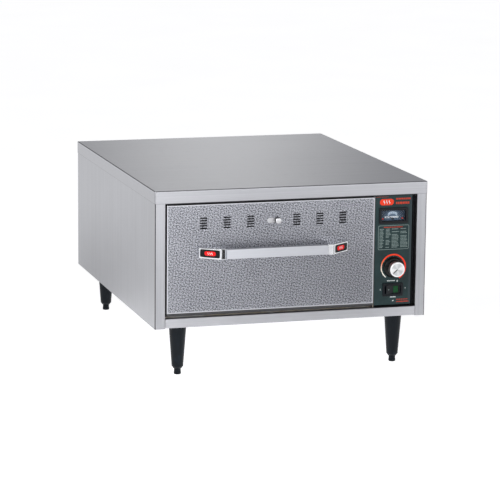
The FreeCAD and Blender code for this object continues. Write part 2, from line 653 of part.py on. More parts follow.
def plate_about(centre, size, y0, y1, radius):
    """Upright plate centred on (x, z) with rounded corners."""
    x, z = centre
    half_x, half_z = size[0] / 2, size[1] / 2
    return rounded_plate(x - half_x, x + half_x, y0, y1, z - half_z, z + half_z, 1, radius)


def panel_cutouts():
    return [plate_about(METER_CENTRE, (METER_CASE[0] + 0.4, METER_CASE[1] + 0.4), FRONT, FRONT + 9, 1.5),
            plate_about(SWITCH_CENTRE, (SWITCH_CASE[0] + 0.4, SWITCH_CASE[1] + 0.4), FRONT, FRONT + 9, 1.5),
            rod((DIAL_CENTRE[0], FRONT, DIAL_CENTRE[1]), (0, 1, 0), 5.05, 9)]


def control_panel():
    """Steel plate that carries the controls, returned backwards at its right edge."""
    plate = box(PANEL_LEFT, PANEL_RIGHT, OVERLAY_BACK, PANEL_BACK, PANEL_BOTTOM, PANEL_TOP)
    fold = box(PANEL_RIGHT - SHEET, PANEL_RIGHT, OVERLAY_BACK, FRONT + 24, PANEL_BOTTOM, 352.6)
    return less(joined([plate, fold]), panel_cutouts())


def panel_overlay():
    """Thin printed face bonded to the control panel."""
    sheet = box(PANEL_LEFT, PANEL_RIGHT, OVERLAY_FRONT, OVERLAY_BACK, PANEL_BOTTOM, PANEL_TOP)
    return less(sheet, panel_cutouts())


def meter_bezel():
    """Dark frame that clips the thermometer to the panel."""
    frame = plate_about(METER_CENTRE, METER_BEZEL, FRONT + 0.6, OVERLAY_FRONT, 2.0)
    frame = frame.makeFillet(0.8, [e for e in frame.Edges if abs(e.CenterOfMass.y - FRONT - 0.6) < 0.01])
    return less(frame, [plate_about(METER_CENTRE, METER_WINDOW, FRONT - 2, FRONT + 8, 1.0)])


def meter_case():
    """Moulded box behind the panel, open to the front for the dial."""
    shell = plate_about(METER_CENTRE, METER_CASE, OVERLAY_FRONT, FRONT + 34, 1.4)
    room = plate_about(METER_CENTRE, METER_WINDOW, OVERLAY_FRONT - 1, FRONT + 31, 1.0)
    return less(shell, [room])


def meter_lens():
    return plate_about(METER_CENTRE, METER_FACE, FRONT + 2.6, FRONT + 3.8, 1.0)


def meter_dial():
    plate = plate_about(METER_CENTRE, METER_FACE, FRONT + 8.0, FRONT + 9.0, 1.0)
    return less(plate, [rod((METER_PIVOT[0], FRONT, METER_PIVOT[1]), (0, 1, 0), 1.0, 20)])


def meter_needle():
    """Pointer and hub on the thermometer's spindle, lying to the left at rest."""
    x, z = METER_PIVOT
    hub = rod((x, FRONT + 6.2, z), (0, 1, 0), 2.0, 1.3)
    spindle = rod((x, FRONT + 7.0, z), (0, 1, 0), 0.95, 6.0)
    angle = math.radians(NEEDLE_REST)
    tip = FreeCAD.Vector(math.cos(angle), 0, math.sin(angle))
    side = FreeCAD.Vector(-tip.z, 0, tip.x)
    centre = FreeCAD.Vector(x, FRONT + 6.5, z)
    corners = [centre + side * 0.8, centre - side * 0.8, centre + tip * NEEDLE_LENGTH - side * 0.3,
               centre + tip * NEEDLE_LENGTH + side * 0.3]
    pointer = prism([tuple(p) for p in corners], (0, 0.6, 0))
    return joined([hub, spindle, pointer])


def thermostat_body():
    """Capillary thermostat screwed behind the panel through its threaded bushing."""
    x, z = DIAL_CENTRE
    case = box(x - 22, x + 22, FRONT + 9, FRONT + 41, z - 20, z + 20)
    case = case.makeFillet(2.0, edges_along(case, 1))
    bushing = rod((x, FRONT + 1.4, z), (0, 1, 0), 5.0, 8.0)
    terminals = [box(x + dx - 3, x + dx + 3, FRONT + 40, FRONT + 50, z - 10, z - 9) for dx in (-10, 10)]
    body = joined([case, bushing] + terminals)
    return less(body, [rod((x, FRONT - 2, z), (0, 1, 0), SHAFT_RADIUS + FIT, 28)])


def thermostat_shaft():
    x, z = DIAL_CENTRE
    return rod((x, FRONT - KNOB_REACH + 8, z), (0, 1, 0), SHAFT_RADIUS, KNOB_REACH + 14)


def knob_skirt():
    """Moulded knob: a thin skirt behind a drum that grips the shaft."""
    x, z = DIAL_CENTRE
    skirt = tapered_rod((x, FRONT + 1.2, z), (0, -1, 0), KNOB_SKIRT_RADIUS, KNOB_SKIRT_RADIUS - 2.5, 4.0)
    drum = rod((x, FRONT - KNOB_REACH + 2.0, z), (0, 1, 0), KNOB_RADIUS - 0.6, KNOB_REACH - 4.0)
    knob = joined([skirt, drum])
    hollow = rod((x, FRONT - 2, z), (0, 1, 0), 10.0, 5)
    return less(knob, [hollow, rod((x, FRONT - KNOB_REACH + 8, z), (0, 1, 0), SHAFT_RADIUS, 40)])


def knob_cap():
    """Spun metal cap pressed over the drum, with a rolled rim and a dished face."""
    x, z = DIAL_CENTRE
    shell = rod((x, FRONT - KNOB_REACH, z), (0, 1, 0), KNOB_RADIUS, 13.0)
    face_y = FRONT - KNOB_REACH
    shell = shell.makeFillet(1.3, [e for e in shell.Edges if abs(e.CenterOfMass.y - face_y) < 0.1])
    room = rod((x, FRONT - KNOB_REACH + 2.0, z), (0, 1, 0), KNOB_RADIUS - 0.6, 20)
    dish = rod((x, FRONT - KNOB_REACH - 1, z), (0, 1, 0), KNOB_RADIUS - 2.6, 1.7)
    return less(shell, [room, dish])


def switch_case():
    """Power switch housing: a bezel on the panel and a deep well for the rocker."""
    bezel = plate_about(SWITCH_CENTRE, SWITCH_BEZEL, FRONT + 0.8, OVERLAY_FRONT, 2.0)
    bezel = bezel.makeFillet(0.9, [e for e in bezel.Edges if abs(e.CenterOfMass.y - FRONT - 0.8) < 0.01])
    body = plate_about(SWITCH_CENTRE, SWITCH_CASE, OVERLAY_FRONT, FRONT + 30, 1.4)
    x, z = SWITCH_CENTRE
    tabs = [box(x + dx - 3, x + dx + 3, FRONT + 29, FRONT + 38, z - 0.5, z + 0.5) for dx in (-11, 0, 11)]
    well = plate_about(SWITCH_CENTRE, ROCKER_WELL, FRONT - 2, FRONT + 20, 1.2)
    reach = ROCKER[1] / 2 + 1.2
    pins = [rod((x, ROCKER_AXIS_Y, z + side * reach), (0, 0, -side), 1.2, 2.6) for side in (-1, 1)]
    return joined([less(joined([bezel, body]), [well])] + tabs + pins)


def rocker_profile(z0, z1):
    """Plan of the rocker: a shallow V front that tips about the pivot, turned to OFF."""
    x = SWITCH_CENTRE[0]
    half = ROCKER[0] / 2
    points = [(-half, -6.0), (0, -3.2), (half, -6.0), (half, 1.5), (6, 7.5), (-6, 7.5), (-half, 1.5)]
    plan = [(x + dx, ROCKER_AXIS_Y + dy, z0) for dx, dy in points]
    solid = prism(plan, (0, 0, z1 - z0))
    solid.rotate(FreeCAD.Vector(x, ROCKER_AXIS_Y, 0), FreeCAD.Vector(0, 0, 1), ROCKER_TILT)
    return solid


def rocker_span():
    """Lowest and highest z of the rocker."""
    return SWITCH_CENTRE[1] - ROCKER[1] / 2, SWITCH_CENTRE[1] + ROCKER[1] / 2


def lens_pocket(clearance):
    """Window through the rocker's right half that the lamp lens fills."""
    x, z = SWITCH_CENTRE
    block = box(x + 1.5 - clearance, x + 13.5 + clearance, ROCKER_AXIS_Y - 12,
                ROCKER_AXIS_Y + 0.5 + clearance, z - 7 - clearance, z + 7 + clearance)
    block.rotate(FreeCAD.Vector(x, ROCKER_AXIS_Y, 0), FreeCAD.Vector(0, 0, 1), ROCKER_TILT)
    return block


def switch_rocker():
    z0, z1 = rocker_span()
    x = SWITCH_CENTRE[0]
    holes = [rod((x, ROCKER_AXIS_Y, z), (0, 0, 1), 1.2 + FIT, 2.0) for z in (z0 - 0.2, z1 - 1.8)]
    return less(rocker_profile(z0, z1), [lens_pocket(0.02)] + holes)


def switch_lens():
    z0, z1 = rocker_span()
    return rocker_profile(z0, z1).common(lens_pocket(0.0))


# ---------------------------------------------------------------- sensing and wiring

def sensing_tube(port_y, start, lane, bulb_x):
    """Capillary from an instrument to its bulb under the cavity ceiling, and the bulb."""
    x, y, z = start
    route = [start, (x, y + 14, z), (lane, y + 14, z), (lane, y + 14, SENSOR_Z),
             (lane, port_y, SENSOR_Z), (bulb_x, port_y, SENSOR_Z), (bulb_x, port_y - 40, SENSOR_Z)]
    tube = bent_tube(route, 1.0, 6.0)
    bulb = rod((bulb_x, port_y - 36, SENSOR_Z), (0, -1, 0), 4.0, 90)
    return joined([tube, bulb])


def temperature_sensors():
    """Sensing tubes of the thermostat and of the thermometer."""
    dial_x, dial_z = DIAL_CENTRE
    meter_x, meter_z = METER_CENTRE
    thermostat_tube = sensing_tube(SENSOR_PORTS[0], (dial_x, FRONT + 41, dial_z + 8), 190.0, 150.0)
    meter_tube = sensing_tube(SENSOR_PORTS[1], (meter_x, FRONT + 34, meter_z), 197.0, 130.0)
    return Part.makeCompound([thermostat_tube, meter_tube])


def terminal_block():
    x, y, z = TERMINAL
    block = box(x - 30, x + 30, y - 12, y + 12, PLATE_Z, z)
    wells = [rod((x + dx, y, z - 8), (0, 0, 1), 4.0, 20) for dx in (-20, 0, 20)]
    return less(block, wells)


def wire_harness():
    """Leads between the terminal block, switch, thermostat and heating element."""
    x, y, z = TERMINAL
    low, high = z - 10, SWITCH_CENTRE[1]
    tab_y = FRONT + 38.0
    tab_x, dial_tab_z = SWITCH_CENTRE[0], DIAL_CENTRE[1] - 9.5
    feed_x = DIAL_CENTRE[0] + 10.0
    inner_end, outer_end = ELEMENT_ENDS
    lead_z = ELEMENT_Z + 10
    routes = [
        [(x + 20, y - 12, low), (x + 20, y - 30, low), (x + 20, y - 30, high), (x + 20, tab_y + 20, high),
         (tab_x + 11, tab_y + 20, high), (tab_x + 11, tab_y, high)],
        [(x, y - 12, low), (x, y - 40, low), (x, y - 40, high - 12), (x, tab_y + 40, high - 12),
         (tab_x, tab_y + 40, high - 12), (tab_x, tab_y + 12, high - 12), (tab_x, tab_y + 12, high),
         (tab_x, tab_y, high)],
        [(tab_x - 11, tab_y, high), (tab_x - 11, tab_y + 26, high), (tab_x - 11, tab_y + 26, dial_tab_z),
         (tab_x - 11, FRONT + 50, dial_tab_z)],
        [(feed_x, FRONT + 50, dial_tab_z), (feed_x, FRONT + 90, dial_tab_z), (feed_x, FRONT + 90, lead_z),
         (feed_x, inner_end, lead_z), (ELEMENT_END_X + 8, inner_end, lead_z),
         (ELEMENT_END_X + 8, inner_end, ELEMENT_Z), (ELEMENT_END_X, inner_end, ELEMENT_Z)],
        [(ELEMENT_END_X, outer_end, ELEMENT_Z), (ELEMENT_END_X + 8, outer_end, ELEMENT_Z),
         (ELEMENT_END_X + 8, outer_end, low - 4), (x - 20, outer_end, low - 4), (x - 20, y - 12, low - 4)],
    ]
    return Part.makeCompound([bent_tube(route, 1.3, 3.5) for route in routes])


def cord_gland():
    """Strain relief in the back panel: flange, clamping nose and threaded barrel."""
    x, z = GLAND
    barrel = rod((x, BACK - 12, z), (0, 1, 0), GLAND_THREAD_RADIUS, 13)
    flange = rod((x, BACK, z), (0, 1, 0), 14.0, 4.0)
    nose = tapered_rod((x, BACK + 3.9, z), (0, 1, 0), 12.0, 9.0, GLAND_REACH - 3.9)
    return less(joined([barrel, flange, nose]), [rod((x, BACK - 20, z), (0, 1, 0), CORD_RADIUS, 60)])


def back_screws():
    inwards = (0, -1, 0)
    return Part.makeCompound([pan_screw((x, BACK, z), inwards, 4.0, SCREW_RADIUS, 9.0)
                              for x, z in back_screw_places()])


# ---------------------------------------------------------------- all pieces

def both_sides(make_piece):
    """The left and the mirrored right copy of a piece, as separate solids."""
    return Part.makeCompound([make_piece(wall_x, inward) for wall_x, inward in SLIDE_SIDES.values()])


def outer_cage(wall_x, inward):
    return ball_cage(wall_x, inward, 1.8, 9.0, 19.0, 18.7, 6.5)


def inner_cage(wall_x, inward):
    return ball_cage(wall_x, inward, 4.5, 10.6, 13.0, 12.7, 8.0)


PIECES = {
    "top_cover": top_cover(),
    "left_side_panel": side_panel(-1, STILE_LEFT_INNER),
    "right_side_panel": side_panel(1, STILE_RIGHT_INNER),
    "back_panel": back_panel(),
    "base_pan": base_pan(),
    "front_header": front_header(),
    "panel_bracket": panel_bracket(),
    "back_screws": back_screws(),
    "cavity_left_wall": cavity_left_wall(),
    "divider_wall": divider_wall(),
    "cavity_ceiling": cavity_ceiling(),
    "cavity_back": cavity_back(),
    "cavity_floor": cavity_floor(),
    "cabinet_insulation": cabinet_insulation(),
    "heating_element": heating_element(),
    "element_clips": element_clips(),
    "leg_plates": leg_plates(),
    "legs": Part.makeCompound([leg(x, y) for x, y in leg_places()]),
    "slide_outer_members": both_sides(slide_outer),
    "slide_middle_left": slide_middle(*SLIDE_SIDES["left"]),
    "slide_middle_right": slide_middle(*SLIDE_SIDES["right"]),
    "slide_inner_members": both_sides(slide_inner),
    "ball_cages_outer": both_sides(outer_cage),
    "ball_cages_inner": both_sides(inner_cage),
    "drawer_front_skin": drawer_front_skin(),
    "drawer_front_back": drawer_front_back(),
    "front_insulation": front_insulation(),
    "shutter_guides": shutter_guides(),
    "vent_shutter": vent_shutter(),
    "vent_knob": vent_knob(),
    "drawer_sides": drawer_sides(),
    "drawer_back": drawer_back(),
    "pan_frame": pan_frame(),
    "food_pan": food_pan(),
    "handle_bar": handle_bar(),
    "handle_caps": Part.makeCompound([handle_cap(BAR_LEFT, -1), handle_cap(BAR_RIGHT, 1)]),
    "handle_insets": Part.makeCompound([handle_inset(BAR_LEFT, -1), handle_inset(BAR_RIGHT, 1)]),
    "handle_screws": handle_screws(),
    "control_panel": control_panel(),
    "panel_overlay": panel_overlay(),
    "meter_bezel": meter_bezel(),
    "meter_case": meter_case(),
    "meter_lens": meter_lens(),
    "meter_dial": meter_dial(),
    "meter_needle": meter_needle(),
    "thermostat_body": thermostat_body(),
    "thermostat_shaft": thermostat_shaft(),
    "knob_skirt": knob_skirt(),
    "knob_cap": knob_cap(),
    "switch_case": switch_case(),
    "switch_rocker": switch_rocker(),
    "switch_lens": switch_lens(),
    "temperature_sensors": temperature_sensors(),
    "terminal_block": terminal_block(),
    "wire_harness": wire_harness(),
    "cord_gland": cord_gland(),
}
for place_name, (foot_x, foot_y) in zip(LEG_NAMES, leg_places()):
    PIECES["foot_" + place_name] = foot(foot_x, foot_y)

os.makedirs("parts", exist_ok=True)
for node_name, node_shape in PIECES.items():
    save(node_name, node_shape)
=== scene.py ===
import math

import bpy
import numpy as np
from mathutils import Matrix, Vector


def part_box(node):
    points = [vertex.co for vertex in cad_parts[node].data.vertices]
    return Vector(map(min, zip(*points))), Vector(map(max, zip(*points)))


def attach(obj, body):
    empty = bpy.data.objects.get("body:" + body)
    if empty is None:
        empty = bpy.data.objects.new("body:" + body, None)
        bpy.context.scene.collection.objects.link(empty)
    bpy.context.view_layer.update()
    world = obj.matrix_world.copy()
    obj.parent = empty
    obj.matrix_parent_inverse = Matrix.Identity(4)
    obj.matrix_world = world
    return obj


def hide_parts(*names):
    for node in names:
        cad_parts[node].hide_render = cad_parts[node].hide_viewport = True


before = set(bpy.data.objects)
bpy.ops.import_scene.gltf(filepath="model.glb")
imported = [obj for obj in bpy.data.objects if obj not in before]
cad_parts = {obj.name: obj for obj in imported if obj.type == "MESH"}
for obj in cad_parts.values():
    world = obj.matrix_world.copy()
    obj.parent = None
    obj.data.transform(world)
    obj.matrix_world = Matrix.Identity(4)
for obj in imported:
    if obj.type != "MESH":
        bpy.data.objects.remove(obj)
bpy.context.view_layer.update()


# ---- Top cover -----------------------------------------------------------------------
# Deep lid of 1.2 mm stainless sheet, folded down on all four sides over the body, its
# corners welded and ground. The satin grain runs from side to side across the top.

def rounded_outline(corners, radii, steps=6):
    """Closed outline of a polygon whose corners are arcs, with its outward normals.

    Each arc is its centre plus the radius times directions that turn evenly from one
    side's normal to the next. Corners go anticlockwise; a hollow corner turns backwards.
    """
    corners = np.asarray(corners, float)
    sides = np.roll(corners, -1, 0) - corners
    sides /= np.linalg.norm(sides, axis=1)[:, None]
    after = np.stack([sides[:, 1], -sides[:, 0]], 1)
    before = np.roll(after, 1, 0)
    start = np.arctan2(before[:, 1], before[:, 0])
    crossing = before[:, 0] * after[:, 1] - before[:, 1] * after[:, 0]
    together = (before * after).sum(1)
    turn = np.arctan2(crossing, together)
    angles = start[:, None] + turn[:, None] * np.linspace(0, 1, steps + 1)
    directions = np.stack([np.cos(angles), np.sin(angles)], -1)
    reach = np.broadcast_to(radii, len(corners)) * np.sign(turn)
    centres = corners - reach[:, None] * (before + after) / (1 + together)[:, None]
    points = centres[:, None] + reach[:, None, None] * directions
    return points.reshape(-1, 2), directions.reshape(-1, 2)


def rectangle(low, high):
    """Corners of an upright rectangle, anticlockwise from the lower left."""
    return [(low[0], low[1]), (high[0], low[1]), (high[0], high[1]), (low[0], high[1])]


def raised(outline, profile):
    """Rings (u, v, w): the outline moved outwards by a profile entry's first number, at the
    height of its second."""
    points, normals = outline
    profile = np.asarray(profile, float)
    spread = points[None] + profile[:, :1, None] * normals[None]
    heights = np.broadcast_to(profile[:, 1:, None], spread.shape[:2] + (1,))
    return np.concatenate([spread, heights], -1)


def eased(radius, height, steps=5):
    """Quarter-round from a side onto a face at the height: the offset goes from 0 to minus
    the radius as the cosine, the height rises as the sine."""
    angles = np.linspace(0, np.pi / 2, steps + 1)
    return np.stack([radius * (np.cos(angles) - 1), height + radius * (np.sin(angles) - 1)], 1)


def skin(name, rings, marks=None, looped=False):
    """Mesh from rings of points, shape (ring, point, 3).

    Neighbouring rings are joined all the way round by four-sided faces. The end rings are
    closed by one face each, or joined to each other when the path is looped. A mark for
    each ring is kept on its points, for the material.
    """
    count, around = rings.shape[:2]
    rows = np.arange(count if looped else count - 1)[:, None] * around
    columns = np.arange(around)[None, :]
    onward = (columns + 1) % around
    above = (rows + around) % (count * around)
    faces = np.stack([rows + columns, rows + onward, above + onward, above + columns], -1)
    faces = faces.reshape(-1, 4).tolist()
    if not looped:
        faces.append(list(range(around))[::-1])
        faces.append(list(range((count - 1) * around, count * around)))
    mesh = bpy.data.meshes.new(name)
    mesh.from_pydata(rings.reshape(-1, 3), [], faces)
    if marks is not None:
        values = np.repeat(np.asarray(marks, np.float32), around)
        mesh.attributes.new("mark", "FLOAT", "POINT").data.foreach_set("value", values)
    mesh.update()
    return mesh


def add_piece(name, mesh, finish, body, slot, *stands_for, sharp=35.0):
    """Puts a finished mesh in the scene on its body, in place of the nodes it stands for."""
    mesh.shade_smooth()
    mesh.set_sharp_from_angle(angle=math.radians(sharp))
    mesh.materials.clear()
    mesh.materials.append(finish.material)
    piece = bpy.data.objects.new(name, mesh)
    bpy.context.scene.collection.objects.link(piece)
    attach(piece, body)
    if stands_for:
        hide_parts(*stands_for)
    even = piece.modifiers.new("even_normals", "WEIGHTED_NORMAL")
    even.keep_sharp = True
    return piece


class Term:
    """A socket's value in a finish; arithmetic on it adds the Math node that does it."""

    def __init__(self, finish, socket):
        self.finish = finish
        self.socket = socket

    def math(self, operation, *values):
        return self.finish.node("ShaderNodeMath", {"operation": operation}, dict(enumerate(values)))

    def __add__(self, other):
        return self.math("ADD", self, other)

    def __sub__(self, other):
        return self.math("SUBTRACT", self, other)

    def __rsub__(self, other):
        return self.math("SUBTRACT", other, self)

    def __mul__(self, other):
        return self.math("MULTIPLY", self, other)

    def __truediv__(self, other):
        return self.math("DIVIDE", self, other)

    def __pow__(self, other):
        return self.math("POWER", self, other)

    __radd__ = __add__
    __rmul__ = __mul__

    def sine(self):
        return self.math("SINE", self)

    def tanh(self):
        return self.math("TANH", self)

    def size(self):
        return self.math("ABSOLUTE", self)

    def larger(self, other):
        return self.math("MAXIMUM", self, other)

    def between(self, low, high):
        """Smooth step: 0 below low, 1 above high."""
        settings = {"interpolation_type": "SMOOTHSTEP"}
        values = {"Value": self, "From Min": low, "From Max": high}
        return self.finish.node("ShaderNodeMapRange", settings, values)


class Finish:
    """A procedural finish being made, one node at a time."""

    def __init__(self, name):
        self.material = bpy.data.materials.new(name)
        self.material.use_nodes = True
        self.tree = self.material.node_tree
        self.tree.nodes.clear()
        self.place = self.node("ShaderNodeTexCoord", output="Object")

    def node(self, kind, settings=None, values=None, output=0):
        """Adds a node, sets its settings, then its sockets' values or links."""
        made = self.tree.nodes.new(kind)
        for key, setting in (settings or {}).items():
            if key == "stops":
                ramp = made.color_ramp
                ramp.elements.remove(ramp.elements[1])
                ramp.elements[0].position = setting[0][0]
                ramp.elements[0].color = (*setting[0][1], 1.0)
                for position, colour in setting[1:]:
                    ramp.elements.new(position).color = (*colour, 1.0)
            else:
                setattr(made, key, setting)
        for key, value in (values or {}).items():
            if isinstance(key, int):
                socket = made.inputs[key]
            else:
                socket = next(s for s in made.inputs if s.name == key and s.enabled)
            if isinstance(value, Term):
                self.tree.links.new(value.socket, socket)
            elif hasattr(value, "__len__") and socket.type == "RGBA":
                socket.default_value = (*value, 1.0)
            else:
                socket.default_value = value
        if isinstance(output, int):
            return Term(self, [s for s in made.outputs if s.enabled][output])
        return Term(self, next(s for s in made.outputs if s.name == output and s.enabled))

    def noise(self, stretch, detail=3.0, rough=0.55, kind="FBM"):
        """Noise from 0 to 1 whose cells per metre are given along each axis."""
        stretch = (stretch,) * 3 if isinstance(stretch, (int, float)) else stretch
        spot = self.node("ShaderNodeMapping", None, {"Vector": self.place, "Scale": stretch})
        settings = {"noise_dimensions": "3D", "noise_type": kind}
        values = {"Vector": spot, "Scale": 1.0, "Detail": detail, "Roughness": rough}
        return self.node("ShaderNodeTexNoise", settings, values, "Fac")

    def mark(self, name="mark"):
        return self.node("ShaderNodeAttribute", {"attribute_name": name}, None, "Fac")

    def blend(self, share, first, second):
        """Colour that goes from the first to the second with the share."""
        values = {"Factor": share, "A": first, "B": second}
        return self.node("ShaderNodeMix", {"data_type": "RGBA"}, values, "Result")

    def axis(self, which):
        """One coordinate of the point, in metres."""
        return self.node("ShaderNodeSeparateXYZ", None, {"Vector": self.place}, which)

    def bump(self, height, distance, strength=1.0):
        values = {"Strength": strength, "Distance": distance, "Height": height}
        return self.node("ShaderNodeBump", None, values, "Normal")

    def surface(self, **sockets):
        """Ends the finish with its shader; names use _ for the space."""
        values = {name.replace("_", " "): value for name, value in sockets.items()}
        return self.ends_in(self.node("ShaderNodeBsdfPrincipled", None, values))

    def ends_in(self, shader):
        end = self.tree.nodes.new("ShaderNodeOutputMaterial")
        self.tree.links.new(shader.socket, end.inputs["Surface"])
        return self


STEEL_DARK = (0.44, 0.445, 0.47)
STEEL_LIGHT = (0.54, 0.545, 0.575)


def satin_steel(name, grain, bends_at=None, dark=STEEL_DARK, light=STEEL_LIGHT, rough=0.34):
    """Satin stainless: scratches drawn out along the grain change tone, roughness and
    height; broad clouds and faint wiping marks change the roughness. Given the height of
    the top, marked rings get dark lines of painted reflection and painted shadow, and the
    sides folded down from the top a little painted shade; the marked rings are rougher."""
    finish = Finish(name)
    fine, coarse, along = 2600.0, 420.0, 22.0
    way = "xyz".index(grain)
    fine_cells = [along if i == way else fine for i in range(3)]
    band_cells = [along / 12 if i == way else coarse for i in range(3)]
    scratches = finish.noise(fine_cells, 4.0, 0.7)
    bands = finish.noise(band_cells, 2.0)
    clouds = finish.noise(7.0, 2.0)
    wiping = finish.noise((60.0, 60.0, 24.0), 3.0).between(0.56, 0.74)
    tone = scratches * 0.42 + bands * 0.38 + clouds * 0.20
    colour = finish.blend(tone.between(0.30, 0.70), dark, light)
    roughness = scratches * 0.10 + clouds * 0.06 + wiping * 0.03 + (rough - 0.09)
    if bends_at is not None:
        # Painted reflection and shadow: marked rings are darkened, and the sides folded down from the top
        # get a little painted shade.
        bends = finish.mark()
        below = 1 - finish.axis("Z").between(bends_at - 0.0040, bends_at - 0.0020)
        colour = finish.blend(bends * 0.9, colour, (0.07, 0.07, 0.08))
        colour = finish.blend(below * 0.19, colour, (0.07, 0.07, 0.08))
        roughness = roughness + bends * 0.08
    return finish.surface(Base_Color=colour, Metallic=1.0, Roughness=roughness,
                          Normal=finish.bump(scratches, 0.00003, 0.4))


steel_across = satin_steel("satin_steel_across", "x")
SHEET = 0.0012
LID_BEND = 0.0018
LID_CORNER = 0.0032

lid_low, lid_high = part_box("top_cover")
lid_steel = satin_steel("satin_steel_lid", "x", bends_at=lid_high.z)
lid_outline = rounded_outline(rectangle(lid_low, lid_high), LID_CORNER)
lid_profile = np.concatenate([
    [(-SHEET - 0.0006, lid_high.z - SHEET), (-SHEET, lid_high.z - SHEET - 0.0006),
     (-SHEET, lid_low.z + 0.0002), (-SHEET / 2, lid_low.z), (-0.0002, lid_low.z),
     (0.0, lid_low.z + 0.0002), (0.0, lid_low.z + 0.0009)],
    eased(LID_BEND, lid_high.z, 6), [(-LID_BEND - 0.0007, lid_high.z)]])
# Ring marks: painted shadow along the skirt's lower edge, painted dark reflection along the top fold.
lid_painted_shade = [0, 0, 0, 0.6, 0.9, 0.8, 0, 0, 0, 0.1, 0.6, 1, 1, 1, 0]
add_piece("top_cover_lid", skin("top_cover_lid", raised(lid_outline, lid_profile), lid_painted_shade),
          lid_steel, "cabinet", "brushed_stainless", "top_cover")


# ---- Side walls, base and header -----------------------------------------------------
# Folded stainless sheets of the body: each side wall turns round the front corner into
# its stile, the base turns up into the rail under the drawer. Grain follows the sheet. The
# header over the drawer is near-black steel as painted shade for the gap above the drawer.

def bent_side_steel():
    """Upright satin sheet, with a dark line of painted shade along the two outer folds at the front
    corners.
    """
    finish = Finish("satin_steel_upright")
    scratches = finish.noise((2600.0, 2600.0, 22.0), 4.0, 0.7)
    bands = finish.noise((420.0, 420.0, 1.8), 2.0)
    clouds = finish.noise(7.0, 2.0)
    tone = scratches * 0.42 + bands * 0.38 + clouds * 0.20
    colour = finish.blend(tone.between(0.30, 0.70), (0.366, 0.371, 0.393), (0.480, 0.485, 0.512))
    # Painted shade: a dark line down each outer front fold.
    outer = finish.axis("X").size().between(BODY_HALF - PAINTED_BEND_WIDTH, BODY_HALF - PAINTED_BEND_WIDTH / 3)
    front = 1 - finish.axis("Y").between(BODY_FRONT + PAINTED_BEND_WIDTH / 3, BODY_FRONT + PAINTED_BEND_WIDTH)
    bend = outer * front
    colour = finish.blend(bend * 0.95, colour, (0.05, 0.05, 0.055))
    roughness = scratches * 0.10 + clouds * 0.06 + bend * 0.10 + 0.27
    return finish.surface(Base_Color=colour, Metallic=1.0, Roughness=roughness,
                          Normal=finish.bump(scratches, 0.00003, 0.4))


def dress(finish, *nodes):
    """Gives modelled nodes their finish."""
    for node in nodes:
        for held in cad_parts[node].material_slots:
            held.material = finish.material


PAINTED_BEND_WIDTH = 0.0026
BODY_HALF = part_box("right_side_panel")[1].x
BODY_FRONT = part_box("right_side_panel")[0].y
steel_upright = bent_side_steel()
# Painted shade: near-black satin steel for the header and the shutter guides, which sit in shadow.
steel_painted_shade = satin_steel("satin_steel_painted_shade", "x", dark=(0.02, 0.02, 0.022),
                           light=(0.05, 0.05, 0.053), rough=0.45)
dress(steel_upright, "left_side_panel", "right_side_panel")
dress(steel_across, "base_pan", "back_panel")
dress(steel_painted_shade, "front_header")


# ---- Galvanised inner sheets ---------------------------------------------------------
# Plates that never show in use are hot-dip galvanised: bluish zinc crystals of 4 to
# 9 mm, each with its own tone, dulled by a thin grey film. The bracket's zinc is made
# near black as painted shade for the gap beside the panel.

def galvanised_zinc(name, dark, light):
    """Zinc spangle: flat cells of random tone with soft borders and a grainy film."""
    finish = Finish(name)
    settings = {"voronoi_dimensions": "3D", "feature": "F1"}
    bent = finish.node("ShaderNodeVectorMath", {"operation": "MULTIPLY_ADD"},
                       {0: finish.noise(90.0), 1: (0.012, 0.012, 0.012), 2: finish.place})
    crystals = finish.node("ShaderNodeTexVoronoi", settings, {"Vector": bent, "Scale": 160.0},
                           "Color")
    tone = finish.node("ShaderNodeSeparateColor", None, {"Color": crystals}, "Red")
    film = finish.noise(700.0, 3.0)
    colour = finish.blend(tone, dark, light)
    roughness = tone * 0.14 + film * 0.12 + 0.28
    return finish.surface(Base_Color=colour, Metallic=0.9, Roughness=roughness,
                          Normal=finish.bump(film + tone * 0.6, 0.00004, 0.5))


zinc_sheet = galvanised_zinc("galvanised_zinc", (0.30, 0.32, 0.35), (0.47, 0.49, 0.52))
dress(zinc_sheet, "control_panel", "leg_plates")
# Painted shade: the bracket beside the panel is near-black zinc.
bracket_painted_shade = galvanised_zinc("zinc_painted_shade", (0.006, 0.007, 0.008), (0.016, 0.017, 0.019))
dress(bracket_painted_shade, "panel_bracket")


# ---- Back-panel screws ---------------------------------------------------------------
# Six zinc-plated pan-head screws hold the rear sheet to the side walls' flanges. Each
# has a domed head with a cross recess.

def lathed(name, profile, centre, axis, steps=40, squash=None):
    """Turned piece: a (radius, height) profile carried round an axis through the centre.

    A point is the centre plus radius times (cosine, sine) across the axis plus height
    along it. The profile starts and ends on the axis, where one face closes it.
    """
    profile = np.asarray(profile, float)
    angles = np.linspace(0, 2 * np.pi, steps, endpoint=False)
    radii = profile[:, :1] * (np.ones(steps) if squash is None else squash(angles, profile))
    across = {"x": (1, 2, 0), "y": (2, 0, 1), "z": (0, 1, 2)}[axis[-1]]
    sign = -1 if axis[0] == "-" else 1
    rings = np.empty((len(profile), steps, 3))
    rings[..., across[0]] = radii * np.cos(angles)
    rings[..., across[1]] = radii * np.sin(angles) * sign
    rings[..., across[2]] = profile[:, 1:] * sign
    return skin(name, rings + np.asarray(centre, float))


def plated_zinc(name, dark, light, rough):
    """Bright zinc plating: faint cloudy tone, fine grain and darker handling marks."""
    finish = Finish(name)
    clouds = finish.noise(300.0, 3.0)
    grain = finish.noise(2500.0, 2.0)
    colour = finish.blend(clouds.between(0.3, 0.7), dark, light)
    return finish.surface(Base_Color=colour, Metallic=1.0, Roughness=grain * 0.12 + rough,
                          Normal=finish.bump(grain, 0.00002, 0.4))


